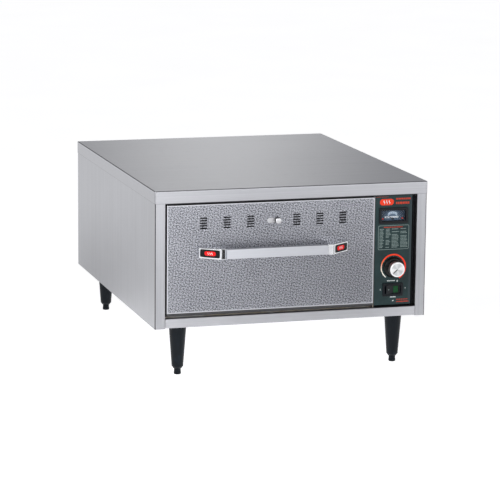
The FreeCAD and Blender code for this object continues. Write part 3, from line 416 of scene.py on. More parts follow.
screw_zinc = plated_zinc("screw_zinc", (0.42, 0.43, 0.45), (0.62, 0.63, 0.64), 0.24)
back_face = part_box("back_panel")[1].y
screws_low, screws_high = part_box("back_screws")
HEAD_RADIUS = 0.004
HEAD_HEIGHT = screws_high.y - back_face
RECESS_REACH = 0.0019
RECESS_HALF_WIDTH = 0.00045
RECESS_DEPTH = 0.0011
HEAD_STEPS = 64


def screw_head(centre):
    """Domed head with a cross recess, on a grid of angle and radius.

    The height is a flattened dome of the radius, less the recess depth wherever the
    smaller of the two sideways distances is within the recess's width.
    """
    reach = np.array([0.0004, 0.0008, 0.0012, 0.0016, 0.0019, 0.0021, 0.0026, 0.0032, 0.0037,
                      HEAD_RADIUS])
    angles = np.linspace(0, 2 * np.pi, HEAD_STEPS, endpoint=False)
    radius, angle = np.meshgrid(reach[::-1], angles, indexing="ij")
    x, z = radius * np.cos(angle), radius * np.sin(angle)
    dome = HEAD_HEIGHT * (1 - 0.75 * (radius / HEAD_RADIUS) ** 4)
    narrow = np.minimum(np.abs(x), np.abs(z))
    share = np.clip(1.6 - narrow / RECESS_HALF_WIDTH, 0, 1) * (radius <= RECESS_REACH)
    height = dome - RECESS_DEPTH * share * (1.15 - radius / RECESS_REACH * 0.5)
    dome_rings = np.stack([-x, height, z], -1)
    foot = np.stack([-np.cos(angles), np.zeros(HEAD_STEPS), np.sin(angles)], -1) * HEAD_RADIUS
    return skin("head", np.concatenate([foot[None], dome_rings]) + centre)


def joined(name, meshes):
    """One mesh made of several, points and faces one after another."""
    points, faces, start = [], [], 0
    for mesh in meshes:
        places = np.empty(len(mesh.vertices) * 3)
        mesh.vertices.foreach_get("co", places)
        points.append(places.reshape(-1, 3))
        faces += [[start + v for v in face.vertices] for face in mesh.polygons]
        start += len(mesh.vertices)
        bpy.data.meshes.remove(mesh)
    whole = bpy.data.meshes.new(name)
    whole.from_pydata(np.concatenate(points), [], faces)
    whole.update()
    return whole


screw_columns = (screws_low.x + HEAD_RADIUS, screws_high.x - HEAD_RADIUS)
screw_rows = np.linspace(screws_low.z + HEAD_RADIUS, screws_high.z - HEAD_RADIUS, 3)
heads = [screw_head((x, back_face, z)) for x in screw_columns for z in screw_rows]
add_piece("back_panel_screws", joined("back_panel_screws", heads), screw_zinc, "cabinet",
          "zinc_screw", "back_screws")


# ---- Legs and levelling feet ---------------------------------------------------------
# Tapered legs moulded in black nylon, screwed to plates inside the base. Each ends in a
# narrower levelling foot on a threaded stem that turns in the leg.

def moulded_nylon():
    """Black nylon: fine moulding grain, faint flow lines down the leg, rubbed patches."""
    finish = Finish("moulded_nylon")
    grain = finish.noise(1500.0, 3.0)
    flow = finish.noise((220.0, 220.0, 9.0), 2.0)
    rubbed = finish.noise(40.0, 3.0).between(0.58, 0.72)
    colour = finish.blend(rubbed * 0.5 + flow * 0.4, (0.0012, 0.0030, 0.0055), (0.005, 0.011, 0.019))
    roughness = grain * 0.10 + flow * 0.08 + rubbed * 0.06 + 0.27
    return finish.surface(Base_Color=colour, Roughness=roughness, Specular_IOR_Level=0.18,
                          Normal=finish.bump(grain + flow * 0.5, 0.00005, 0.35))


nylon = moulded_nylon()
LEG_TOP_RADIUS = 0.018
LEG_NECK_RADIUS = 0.0118
LEG_STEP_HEIGHT = 0.0168
LEG_END_HEIGHT = 0.012
LEG_END_RADIUS = 0.0084
STEM_RADIUS = 0.00505
body_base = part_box("left_side_panel")[0].z
leg_profile = [(STEM_RADIUS, LEG_END_HEIGHT + 0.02), (STEM_RADIUS, LEG_END_HEIGHT),
               (LEG_END_RADIUS - 0.0006, LEG_END_HEIGHT), (LEG_END_RADIUS, LEG_END_HEIGHT + 0.0005),
               (LEG_NECK_RADIUS - 0.0006, LEG_STEP_HEIGHT - 0.0006),
               (LEG_NECK_RADIUS, LEG_STEP_HEIGHT), (LEG_NECK_RADIUS + 0.0002, LEG_STEP_HEIGHT + 0.0012)]
leg_profile += [(LEG_NECK_RADIUS + (LEG_TOP_RADIUS - LEG_NECK_RADIUS) * t,
                 LEG_STEP_HEIGHT + (body_base - LEG_STEP_HEIGHT) * t)
                for t in (0.1, 0.3, 0.5, 0.7, 0.9, 0.985)]
leg_profile += [(LEG_TOP_RADIUS, body_base - 0.0006), (LEG_TOP_RADIUS - 0.0005, body_base),
                (0.006, body_base), (0.006, body_base + 0.0135)]
FOOT_RADIUS = 0.0074
leg_meshes = []
for side in ("left", "right"):
    for end in ("front", "rear"):
        foot = f"foot_{end}_{side}"
        low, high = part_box(foot)
        centre = ((low.x + high.x) / 2, (low.y + high.y) / 2, 0.0)
        leg_meshes.append(lathed("leg", leg_profile, centre, "+z", 56))
        foot_profile = [(0.0052, 0.0), (0.0062, 0.0002), (0.0070, 0.0009), (FOOT_RADIUS, 0.0022),
                        (FOOT_RADIUS - 0.0001, 0.0050), (FOOT_RADIUS - 0.0002, 0.0056),
                        (FOOT_RADIUS - 0.0006, 0.0059), (FOOT_RADIUS - 0.0007, 0.0062),
                        (FOOT_RADIUS - 0.0004, 0.0066), (FOOT_RADIUS - 0.0006, 0.0110),
                        (FOOT_RADIUS - 0.0012, 0.0116), (0.005, 0.0116), (0.005, high.z)]
        add_piece(foot + "_pad", lathed(foot, foot_profile, centre, "+z", 48), nylon, foot,
                  "leg_black", foot)
add_piece("legs_moulded", joined("legs_moulded", leg_meshes), nylon, "cabinet", "leg_black", "legs")


# ---- Cord gland ----------------------------------------------------------------------
# Black nylon strain relief in the back sheet: a flange, six flats for the spanner and a
# tapered clamping nose with the cord's bore through it.

gland_low, gland_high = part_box("cord_gland")
gland_centre = ((gland_low.x + gland_high.x) / 2, 0.0, (gland_low.z + gland_high.z) / 2)
CORD_RADIUS = 0.0055
NUT_START, NUT_END = back_face + 0.0045, back_face + 0.0135


def six_flats(angles, profile):
    """Radius factor of a hexagon on the rows of the nut, and 1 on the other rows."""
    turned = (angles + np.pi / 6) % (np.pi / 3) - np.pi / 6
    hexagon = math.cos(np.pi / 6) / np.cos(turned)
    nut = (profile[:, 1] > NUT_START) & (profile[:, 1] < NUT_END)
    return np.where(nut[:, None], hexagon[None], 1.0)


gland_profile = [(CORD_RADIUS, gland_low.y + 0.0002), (0.0096, gland_low.y + 0.0002),
                 (0.01, gland_low.y + 0.0006), (0.01, back_face), (0.0137, back_face),
                 (0.014, back_face + 0.0004), (0.014, back_face + 0.0034),
                 (0.0134, back_face + 0.0040), (0.0122, back_face + 0.0044),
                 (0.0138, back_face + 0.0050), (0.0138, back_face + 0.0128),
                 (0.0116, back_face + 0.0140), (0.0113, back_face + 0.0150),
                 (0.0092, gland_high.y - 0.0016), (0.0086, gland_high.y - 0.0003),
                 (0.0080, gland_high.y), (0.0060, gland_high.y - 0.0002),
                 (CORD_RADIUS, gland_high.y - 0.0008)]
gland_mesh = lathed("cord_gland_body", gland_profile, gland_centre, "+y", 72, six_flats)
add_piece("cord_gland_body", gland_mesh, nylon, "cabinet", "leg_black", "cord_gland")


# ---- Cavity --------------------------------------------------------------------------
# The drawer slides in a box of plain stainless sheets. Heat has tinted them straw and
# brown low down by the element, and the drawer has scuffed them front to back.

def heated_steel():
    """Stainless that has been hot: straw tint in clouds, stronger near the floor."""
    finish = Finish("heated_steel")
    height = finish.axis("Z")
    low_down = 1 - height.between(0.13, 0.24)
    clouds = finish.noise(14.0, 4.0)
    scuffs = finish.noise((900.0, 8.0, 900.0), 4.0, 0.7)
    tint = (low_down * 0.6 + 0.15) * clouds.between(0.35, 0.75)
    metal = finish.blend(scuffs, (0.36, 0.36, 0.37), (0.52, 0.52, 0.53))
    colour = finish.blend(tint, metal, (0.42, 0.31, 0.17))
    roughness = scuffs * 0.16 + clouds * 0.08 + 0.24
    return finish.surface(Base_Color=colour, Metallic=1.0, Roughness=roughness,
                          Normal=finish.bump(scuffs, 0.00004, 0.4))


cavity_steel = heated_steel()
dress(cavity_steel, "cavity_left_wall", "divider_wall", "cavity_ceiling", "cavity_back",
      "cavity_floor")


# ---- Insulation slabs ----------------------------------------------------------------
# Mineral-wool batts lie loose between the cavity and the outer sheets, and one fills the
# drawer front. Their faces are matted fibre with a lumpy, slightly sagging surface.

def mineral_wool():
    """Matted fibres: three crossed sets of drawn-out noise over soft yellow-brown lumps."""
    finish = Finish("mineral_wool")
    lumps = finish.noise(45.0, 4.0)
    strands = [finish.noise(cells, 2.0) for cells in
               ((1400.0, 90.0, 500.0), (120.0, 1500.0, 500.0), (500.0, 500.0, 100.0))]
    fibre = strands[0] * 0.4 + strands[1] * 0.35 + strands[2] * 0.25
    tone = fibre.between(0.35, 0.65) * 0.6 + lumps * 0.4
    colour = finish.blend(tone, (0.20, 0.15, 0.06), (0.62, 0.52, 0.28))
    return finish.surface(Base_Color=colour, Roughness=fibre * 0.1 + 0.85,
                          Sheen_Weight=0.3, Sheen_Roughness=0.6,
                          Normal=finish.bump(fibre + lumps, 0.0006, 0.9))


def batt(name, low, high):
    """Slab of six rings with soft edges, lying across its shortest side.

    The outer rings of each face are drawn in from the outline. Both faces then move by the
    shrink times the product of two crossed sines, and start two shrinks in from the box, so
    the slab never grows past it.
    """
    size = np.array(high) - np.array(low)
    order = np.argsort(-size)
    across, up, through = order[0], order[1], order[2]
    shrink = min(0.0008, size[through] * 0.08)
    plan = rounded_outline(rectangle((low[across], low[up]), (high[across], high[up])), 0.004, 3)
    lower = [(-0.003, low[through] + 2 * shrink), (-0.001, low[through] + 2 * shrink + 0.0004),
             (0.0, low[through] + 0.003)]
    upper = [(0.0, high[through] - 0.003), (-0.001, high[through] - 2 * shrink - 0.0004),
             (-0.003, high[through] - 2 * shrink)]
    rings = raised(plan, lower + upper)
    ripple = np.sin(rings[..., 0] * 160) * np.sin(rings[..., 1] * 130 + 1.0)
    rings[..., 2] += shrink * ripple * np.where(np.arange(6)[:, None] < 3, 1, -1)
    placed = np.empty_like(rings)
    placed[..., across] = rings[..., 0]
    placed[..., up] = rings[..., 1]
    placed[..., through] = rings[..., 2]
    mesh = skin(name, placed)
    handed = np.linalg.det(np.eye(3)[:, [across, up, through]])
    if handed < 0:
        mesh.flip_normals()
    return mesh


wool = mineral_wool()
add_piece("drawer_front_batt", batt("drawer_front_batt", *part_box("front_insulation")), wool,
          "drawer", "mineral_wool", "front_insulation")
dress(wool, "cabinet_insulation")


# ---- Heating element and clips -------------------------------------------------------
# A sheathed rod snakes over the cavity floor in four runs, held down by pressed steel
# saddles. The sheath is dull, with heat colours from straw to slate blue.

def element_sheath():
    """Oxidised sheath: heat tint drifting along the rod and grainy scale."""
    finish = Finish("element_sheath")
    drift = finish.noise(18.0, 2.0)
    scale = finish.noise(900.0, 4.0)
    colour = finish.node("ShaderNodeValToRGB",
                         {"stops": [(0.30, (0.10, 0.085, 0.075)), (0.45, (0.20, 0.13, 0.07)),
                                    (0.55, (0.11, 0.09, 0.10)), (0.70, (0.07, 0.08, 0.11))]},
                         {"Fac": drift}, "Color")
    return finish.surface(Base_Color=colour, Metallic=0.85, Roughness=scale * 0.25 + 0.38,
                          Normal=finish.bump(scale, 0.00006, 0.5))


dress(element_sheath(), "heating_element")
dress(zinc_sheet, "element_clips")


# ---- Telescopic slides ---------------------------------------------------------------
# Three-part full-extension slides of zinc-plated steel on both cavity walls: outer,
# middle and inner channels, with bearing balls in thin cages between them.

slide_zinc = plated_zinc("slide_zinc", (0.38, 0.39, 0.42), (0.56, 0.57, 0.60), 0.26)
ball_steel = plated_zinc("ball_steel", (0.55, 0.55, 0.56), (0.68, 0.68, 0.68), 0.10)
dress(slide_zinc, "slide_outer_members", "slide_middle_left", "slide_middle_right",
      "slide_inner_members")
dress(ball_steel, "ball_cages_outer", "ball_cages_inner")


# ---- Drawer front --------------------------------------------------------------------
# Tray of 1.2 mm stainless sheet with a rolled-in leather grain, folded back on all four
# sides. Six groups of five vent slots and an obround slot for the vent knob are punched.

WAVE_COUNT = 22
GRAIN_PITCH = 0.0026
PITCH_SPREAD = 3.2
GRAIN_DEPTH = 0.00018
GRAIN_SHARPNESS = 0.5
grain_draw = np.random.default_rng(21)
wave_angles = (np.arange(WAVE_COUNT) + grain_draw.uniform(0, 0.7, WAVE_COUNT)) * np.pi / WAVE_COUNT
wave_numbers = 2 * np.pi / (GRAIN_PITCH * PITCH_SPREAD ** grain_draw.uniform(0, 1, WAVE_COUNT))
wave_x = wave_numbers * np.cos(wave_angles)
wave_z = wave_numbers * np.sin(wave_angles)
wave_phases = grain_draw.uniform(0, 2 * np.pi, WAVE_COUNT)
wave_gain = math.sqrt(2 / WAVE_COUNT)
FOLD_RADIUS = 0.0011
GRAIN_GRID = 0.00108
PLAIN_RIM = 0.0016
RIM_FADE = 0.0016

front_low, front_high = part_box("drawer_front_skin")
front_middle_x, front_middle_z = (front_low.x + front_high.x) / 2, (front_low.z + front_high.z) / 2
front_half_x, front_half_z = (front_high.x - front_low.x) / 2, (front_high.z - front_low.z) / 2


def rolled_grain(x, z):
    """Grain height from 0 to 1: plane waves of 2.6 to 8 mm in many directions are added up
    and pressed towards their extremes by a hyperbolic tangent."""
    total = np.zeros(np.broadcast(x, z).shape)
    for kx, kz, phase in zip(wave_x, wave_z, wave_phases):
        total += np.sin(kx * x + kz * z + phase)
    return 0.5 + 0.5 * np.tanh(GRAIN_SHARPNESS * total * wave_gain)


def embossed_steel():
    """The same waves as the sheet's relief: valleys are darker as painted shade and rougher,
    tops brighter as wear. The plain rim by the folds carries a painted highlight; the
    folded-back sides are painted dark grey and the walls of the punched slots near black,
    both as painted shade."""
    finish = Finish("embossed_steel")
    total = None
    for kx, kz, phase in zip(wave_x, wave_z, wave_phases):
        turned = finish.node("ShaderNodeVectorMath", {"operation": "DOT_PRODUCT"},
                             {0: finish.place, 1: (kx, 0.0, kz)}, "Value")
        wave = (turned + float(phase)).sine()
        total = wave if total is None else total + wave
    height = (total * (GRAIN_SHARPNESS * wave_gain)).tanh() * 0.5 + 0.5
    beside = (finish.axis("X") - front_middle_x).size() - front_half_x
    above = (finish.axis("Z") - front_middle_z).size() - front_half_z
    rim_ends = -PLAIN_RIM - RIM_FADE, -PLAIN_RIM
    rim = beside.between(*rim_ends).larger(above.between(*rim_ends))
    specks = finish.noise(1100.0, 3.0)
    clouds = finish.noise(9.0, 2.0)
    patches = finish.noise(420.0, 3.0)
    # Painted shade and wear: the relief's valleys are darker, its tops brighter.
    tone = (height * 0.34 + patches * 0.74 + specks * 0.16 + clouds * 0.08).between(0.40, 0.92)
    colour = finish.blend(tone, (0.060, 0.062, 0.072), (0.51, 0.52, 0.568))
    # Painted highlight along the plain rim by the folds.
    colour = finish.blend(rim * 0.9, colour, (0.60, 0.61, 0.65))
    # Painted shade: the folded-back sides dark grey, the slot walls near black.
    behind = (finish.axis("Y") - front_low.y).between(0.0003, 0.0007)
    fold = beside.between(-0.002, -0.001).larger(above.between(-0.002, -0.001))
    flank_painted_shade = finish.blend(fold, (0.006, 0.006, 0.007), (0.07, 0.07, 0.074))
    colour = finish.blend(behind, colour, flank_painted_shade)
    roughness = (1 - height) * 0.14 + specks * 0.08 + 0.28
    return finish.surface(Base_Color=colour, Metallic=1.0, Roughness=roughness,
                          Normal=finish.bump(patches * 0.8 + specks * 0.2, 0.0003, 0.7))


def embossed_tray():
    """Folded tray: a grid of the face with the grain's relief, carried on round the folds.

    Face points lie behind the front plane by the grain depth times (1 - height), fading
    to nothing towards the rim. The border loop then follows a quarter circle, the depth
    of the fold, the sheet's thickness and the inner face.
    """
    left, right = front_low.x + FOLD_RADIUS, front_high.x - FOLD_RADIUS
    bottom, top = front_low.z + FOLD_RADIUS, front_high.z - FOLD_RADIUS
    columns = int((right - left) / GRAIN_GRID)
    rows = int((top - bottom) / GRAIN_GRID)
    x, z = np.meshgrid(np.linspace(left, right, columns + 1), np.linspace(bottom, top, rows + 1))
    edge = np.minimum(np.minimum(x - left, right - x), np.minimum(z - bottom, top - z))
    fade = np.clip((edge - 0.0004) / (PLAIN_RIM + RIM_FADE), 0, 1)
    depth = GRAIN_DEPTH * (1 - rolled_grain(x, z)) * fade
    face = np.stack([x, front_low.y + depth, z], -1)
    index = np.arange(face.shape[0] * face.shape[1]).reshape(face.shape[:2])
    quads = np.stack([index[:-1, :-1], index[:-1, 1:], index[1:, 1:], index[1:, :-1]], -1)
    border = np.concatenate([index[0, :-1], index[:-1, -1], index[-1, :0:-1], index[:0:-1, 0]])
    flat = face.reshape(-1, 3)
    loop = flat[border]
    across = (loop[:, 0] > right - 1e-6) * 1.0 - (loop[:, 0] < left + 1e-6)
    up = (loop[:, 2] > top - 1e-6) * 1.0 - (loop[:, 2] < bottom + 1e-6)
    outward = np.stack([across, np.zeros(len(loop)), up], -1)
    angles = np.linspace(0, np.pi / 2, 4)[1:]
    steps = [(FOLD_RADIUS * math.sin(a), FOLD_RADIUS * (1 - math.cos(a))) for a in angles]
    tray_depth = front_high.y - front_low.y
    steps += [(FOLD_RADIUS, tray_depth), (FOLD_RADIUS - SHEET, tray_depth),
              (FOLD_RADIUS - SHEET, SHEET)]
    walls = np.array([loop + outward * out + (0, back, 0) for out, back in steps])
    added = len(flat) + np.arange(len(steps) * len(loop)).reshape(len(steps), -1)
    rings = np.concatenate([border[None], added])
    onward = np.roll(rings, -1, 1)
    sides = np.stack([rings[:-1], rings[1:], onward[1:], onward[:-1]], -1)
    faces = np.concatenate([quads.reshape(-1, 4), sides.reshape(-1, 4)]).tolist()
    faces.append(rings[-1, ::-1].tolist())
    mesh = bpy.data.meshes.new("embossed_tray")
    mesh.from_pydata(np.concatenate([flat, walls.reshape(-1, 3)]), [], faces)
    mesh.update()
    return mesh


def to_front(rings):
    """Turns rings drawn in (across, up, towards the viewer) to face the front."""
    return rings[..., [0, 2, 1]] * (1, -1, 1)


def punched(mesh, cutter):
    """The mesh less the cutter's closed solids."""
    body = bpy.data.objects.new("work", mesh)
    tool = bpy.data.objects.new("tool", cutter)
    bpy.context.scene.collection.objects.link(body)
    bpy.context.scene.collection.objects.link(tool)
    cut = body.modifiers.new("cut", "BOOLEAN")
    cut.operation = "DIFFERENCE"
    cut.solver = "MANIFOLD"
    cut.object = tool
    depsgraph = bpy.context.evaluated_depsgraph_get()
    made = bpy.data.meshes.new_from_object(body.evaluated_get(depsgraph))
    bpy.data.objects.remove(body)
    bpy.data.objects.remove(tool)
    return made


def slot_cutter(low, high, radius, near, far):
    """Rounded bar from near to far, along the viewing direction, that punches one slot."""
    outline = rounded_outline(rectangle(low, high), radius, 4)
    return skin("bar", to_front(raised(outline, [(0.0, -far), (0.0, -near)])))


VENT_COLUMNS = [-0.1864 + 0.0489 * k for k in range(3)] + [0.0082 + 0.0489 * k for k in range(3)]
VENT_WIDTH = 0.0152
VENT_BOTTOM = 0.3016
SLOT_HEIGHT = 0.0028
SLOT_PITCH = 0.00515
SLOTS = 5
SLOT_ROUND = 0.0009
KNOB_SLOT_LEFT, KNOB_SLOT_RIGHT = -0.054, -0.0272
KNOB_SLOT_HEIGHT = 0.010
slot_middle = VENT_BOTTOM + (SLOT_PITCH * (SLOTS - 1) + SLOT_HEIGHT) / 2


def vent_bars(near, far):
    """Cutters of all the vent slots."""
    return [slot_cutter((x - VENT_WIDTH / 2, VENT_BOTTOM + SLOT_PITCH * k),
                        (x + VENT_WIDTH / 2, VENT_BOTTOM + SLOT_PITCH * k + SLOT_HEIGHT),
                        SLOT_ROUND, near, far)
            for x in VENT_COLUMNS for k in range(SLOTS)]


face_bars = vent_bars(front_low.y - 0.002, front_low.y + 0.004)
face_bars.append(slot_cutter((KNOB_SLOT_LEFT, slot_middle - KNOB_SLOT_HEIGHT / 2),
                             (KNOB_SLOT_RIGHT, slot_middle + KNOB_SLOT_HEIGHT / 2),
                             KNOB_SLOT_HEIGHT / 2 - 0.0001, front_low.y - 0.002, front_low.y + 0.004))
tray = punched(embossed_tray(), joined("bars", face_bars))
tray.name = "drawer_front_tray"
add_piece("drawer_front_tray", tray, embossed_steel(), "drawer", "embossed_stainless",
          "drawer_front_skin", sharp=50.0)


# ---- Drawer inner plate, guides and vent shutter -------------------------------------
# Plain sheets behind the face: the inner plate with its bottom lip, the two folded
# guides, and the plate that slides in them to open or close the vents.

def steel_with_painted_shade(name, dark, light, unshaded_share, rough):
    """Satin sheet behind the vents: a mottled near-black painted shade covers it, except
    where the unshaded share says."""
    finish = Finish(name)
    scratches = finish.noise((22.0, 2600.0, 2600.0), 4.0, 0.7)
    shade_mottle = finish.noise(240.0, 3.0)
    metal = finish.blend(scratches.between(0.3, 0.7), dark, light)
    # Painted shade: near black and mottled, seen through the vent slots and under the face.
    dirt_and_painted_shade = finish.blend(shade_mottle, (0.003, 0.003, 0.004), (0.014, 0.014, 0.016))
    unshaded = unshaded_share(finish)
    colour = finish.blend(unshaded, dirt_and_painted_shade, metal)
    roughness = scratches * 0.10 + shade_mottle * 0.06 + (1 - unshaded) * 0.25 + rough
    return finish.surface(Base_Color=colour, Metallic=unshaded * 0.9 + 0.1, Roughness=roughness,
                          Normal=finish.bump(scratches, 0.00003, 0.4))


def behind_the_face(finish):
    """Unshaded share: 1 over most of the sheet, 0 behind the vents and a tenth on the lip under the face;
    painted shade fills the rest.
    """
    z = finish.axis("Z")
    vents = z.between(VENT_BOTTOM - 0.012, VENT_BOTTOM - 0.006)
    vents = vents * (1 - z.between(VENT_BOTTOM + 0.029, VENT_BOTTOM + 0.035))
    lip = 1 - z.between(front_low.z - 0.0002, front_low.z + 0.0004)
    return (1 - vents) * (1 - lip * 0.9)


lip_painted_shade = steel_with_painted_shade("satin_steel_lip_painted_shade", (0.34, 0.34, 0.355), (0.45, 0.45, 0.465),
                         behind_the_face, 0.30)
dress(lip_painted_shade, "drawer_front_back")
# Painted shade: the guides get the near-black steel.
dress(steel_painted_shade, "shutter_guides")

shutter_low, shutter_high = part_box("vent_shutter")
shutter_outline = rounded_outline(rectangle((shutter_low.x, shutter_low.z),
                                            (shutter_high.x, shutter_high.z)), 0.002, 4)
shutter_rings = to_front(raised(shutter_outline,
                                [(-0.0001, -shutter_high.y), (0.0, -shutter_high.y + 0.0001),
                                 (0.0, -shutter_low.y - 0.0001), (-0.0001, -shutter_low.y)]))
shutter = punched(skin("shutter", shutter_rings),
                  joined("shutter_bars", vent_bars(shutter_low.y - 0.001, shutter_high.y + 0.001)))
shutter.name = "vent_shutter_plate"


def round_the_knob(finish):
    """Unshaded share: 1 where the obround slot of the face bares the plate, 0 beyond, under painted shade.
    """
    middle = (KNOB_SLOT_LEFT + KNOB_SLOT_RIGHT) / 2
    return 1 - (finish.axis("X") - middle).size().between(0.028, 0.032)


shutter_painted_shade = steel_with_painted_shade("satin_steel_shutter_painted_shade", (0.50, 0.50, 0.52), (0.66, 0.66, 0.68),
                             round_the_knob, 0.36)
add_piece("vent_shutter_plate", shutter, shutter_painted_shade, "vent_shutter", "brushed_stainless",
          "vent_shutter")


# ---- Vent knob -----------------------------------------------------------------------
# Small turned and polished knob riveted to the shutter through the obround slot. Its rim
# is grooved for the fingers and its face is slightly domed.

def turned_metal(name, centre_x, centre_z, front_face, dark, light, rough):
    """Metal turned on a lathe: rings of tone about the centre, finer ones in height, and
    painted shade on its side behind the front face."""
    finish = Finish(name)
    x, z = finish.axis("X") - centre_x, finish.axis("Z") - centre_z
    radius = (x * x + z * z) ** 0.5
    rings = (radius * 9000.0 + finish.noise(300.0) * 2.0).sine() * 0.5 + 0.5
    grain = finish.noise(1800.0, 3.0)
    colour = finish.blend(rings * 0.35 + grain * 0.5, dark, light)
    # Painted shade on the side behind the front face.
    side = (finish.axis("Y") - front_face).between(0.0010, 0.0022)
    colour = finish.blend(side * 0.92, colour, (0.03, 0.03, 0.032))
    return finish.surface(Base_Color=colour, Metallic=1.0, Roughness=grain * 0.10 + rough,
                          Normal=finish.bump(rings * 0.6 + grain * 0.4, 0.00001, 0.25))


knob_low, knob_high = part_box("vent_knob")
vent_knob_x, vent_knob_z = (knob_low.x + knob_high.x) / 2, (knob_low.z + knob_high.z) / 2
KNOB_NECK = 0.0042
RIVET_RADIUS = 0.0021
KNOB_HEAD = knob_high.x - vent_knob_x
knob_face = -knob_low.y
knob_back = -front_low.y + 0.0016
vent_knob_profile = [(0.0040, -knob_high.y), (0.0040, -knob_high.y + 0.0009),
                     (RIVET_RADIUS, -knob_high.y + 0.0010), (RIVET_RADIUS, -shutter_low.y),
                     (KNOB_NECK, -shutter_low.y), (KNOB_NECK, knob_back),
                     (KNOB_HEAD - 0.0006, knob_back), (KNOB_HEAD - 0.0001, knob_back + 0.0004),
                     (KNOB_HEAD, knob_back + 0.0010), (KNOB_HEAD, knob_back + 0.0024),
                     (KNOB_HEAD - 0.0005, knob_back + 0.0028), (KNOB_HEAD - 0.0005, knob_back + 0.0034),
                     (KNOB_HEAD, knob_back + 0.0038), (KNOB_HEAD, knob_face - 0.0018),
                     (KNOB_HEAD - 0.0003, knob_face - 0.0010), (KNOB_HEAD - 0.0009, knob_face - 0.0004),
                     (KNOB_HEAD - 0.0018, knob_face - 0.0001), (KNOB_HEAD * 0.45, knob_face),
                     (0.0006, knob_face)]
knob_metal = turned_metal("turned_knob_metal", vent_knob_x, vent_knob_z, knob_low.y,
                          (0.58, 0.58, 0.60), (0.82, 0.82, 0.84), 0.26)
add_piece("vent_knob_turned",
          lathed("vent_knob_turned", vent_knob_profile, (vent_knob_x, 0, vent_knob_z), "-y", 56),
          knob_metal, "vent_shutter", "brushed_stainless", "vent_knob", sharp=50.0)


# ---- Handle bar ----------------------------------------------------------------------
# Extruded aluminium bar with eased edges and a faint crown, bright anodised, its brush
# lines running along it. Its ends sit in the end castings.

def bright_bar():
    """Anodised aluminium: long fine brush lines, a soft satin glow, small nicks."""
    finish = Finish("bright_bar")
    lines = finish.noise((10.0, 2400.0, 2400.0), 4.0, 0.75)
    bands = finish.noise((3.0, 420.0, 420.0), 2.0)
    nicks = finish.noise(260.0, 2.0).between(0.70, 0.76)
    colour = finish.blend(lines * 0.6 + bands * 0.4, (0.50, 0.515, 0.555), (0.64, 0.65, 0.69))
    colour = finish.blend(nicks * 0.4, colour, (0.45, 0.45, 0.47))
    roughness = lines * 0.10 + bands * 0.05 + 0.36
    return finish.surface(Base_Color=colour, Metallic=0.92, Roughness=roughness,
                          Normal=finish.bump(lines * 0.7 + bands * 0.3, 0.00003, 0.4))


bar_low, bar_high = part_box("handle_bar")
BAR_EASE = 0.0016
BAR_CROWN = 0.00035
bar_corners = rectangle((bar_low.y, bar_low.z), (bar_high.y, bar_high.z))
bar_section, bar_normals = rounded_outline(bar_corners, BAR_EASE, 6)
bar_middle_z = (bar_low.z + bar_high.z) / 2
bar_half = (bar_high.z - bar_low.z) / 2


def handle_sweep():
    """The bar's section carried from end to end; its front is a shallow arc, highest at
    mid height, and the last millimetre of each end draws in a little."""
    ends = np.array([0.0, 0.0003, 0.0010])
    drawn_in = np.array([0.0006, 0.0002, 0.0])
    between = np.linspace(bar_low.x, bar_high.x, 9)[1:-1]
    x = np.concatenate([bar_low.x + ends, between, bar_high.x - ends[::-1]])
    shrink = np.concatenate([drawn_in, np.zeros(len(between)), drawn_in[::-1]])
    points = bar_section[None] - shrink[:, None, None] * bar_normals[None]
    front = np.clip(-bar_normals[:, 0], 0, 1)
    sag = BAR_CROWN * ((points[..., 1] - bar_middle_z) / bar_half) ** 2 * front
    rings = np.empty(points.shape[:2] + (3,))
    rings[..., 0] = x[:, None]
    rings[..., 1] = points[..., 0] + sag
    rings[..., 2] = points[..., 1]
    return skin("handle_bar_brushed", rings)


add_piece("handle_bar_brushed", handle_sweep(), bright_bar(), "drawer", "handle_bright",
          "handle_bar", sharp=60.0)


# ---- Handle end castings -------------------------------------------------------------
# Die-cast end pieces, chrome plated: a foot on the drawer, a sloped outer face with a
# recess for the badge, and a nose that turns in to the bar.

def chrome_plating():
    """Plated casting: mirror-like, with faint polishing haze, orange-peel and fine wear."""
    finish = Finish("chrome_plating")
    peel = finish.noise(420.0, 2.0)
    haze = finish.noise(60.0, 4.0)
    colour = finish.blend(haze.between(0.3, 0.7), (0.64, 0.65, 0.68), (0.80, 0.81, 0.83))
    roughness = haze * 0.05 + peel * 0.03 + 0.05
    return finish.surface(Base_Color=colour, Metallic=1.0, Roughness=roughness,
                          Normal=finish.bump(peel, 0.00006, 0.3))


CAP_EASE = 0.0014
CAP_PLAN = np.array([(8.0, 0.0), (50.0, 0.0), (50.0, 12.5), (12.5, 40.6), (10.5, 40.6), (0.0, 37.5),
                     (0.0, 31.0)]) / 1000
CAP_RADII = np.array([0.1, 0.1, 1.6, 1.4, 1.0, 1.4, 1.4]) / 1000
caps_low, caps_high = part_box("handle_caps")
SEAT = (0.0424, 0.016)
SEAT_ROUND = 0.003
SEAT_DEPTH = 0.0024
BADGE_SETBACK = 0.0009


def cap_frame(inner_x, out):
    """Middle of a casting's sloped face and its unit axes: along it, up, and outwards."""
    outer, inner = [np.array([inner_x + out * reach, front_low.y - depth, bar_middle_z])
                    for reach, depth in CAP_PLAN[2:4]]
    along = out * (outer - inner) / np.linalg.norm(outer - inner)
    up = np.array([0.0, 0.0, 1.0])
    return (outer + inner) / 2, along, up, np.cross(along, up)


def on_cap(rings, inner_x, out):
    """Carries rings drawn in (along, up, outwards) onto a casting's sloped face."""
    middle, along, up, outward = cap_frame(inner_x, out)
    return middle + rings @ np.array([along, up, outward])


def centred(size):
    """Corners of a rectangle of that size about the origin."""
    return np.array(rectangle((-size[0] / 2, -size[1] / 2), (size[0] / 2, size[1] / 2)))


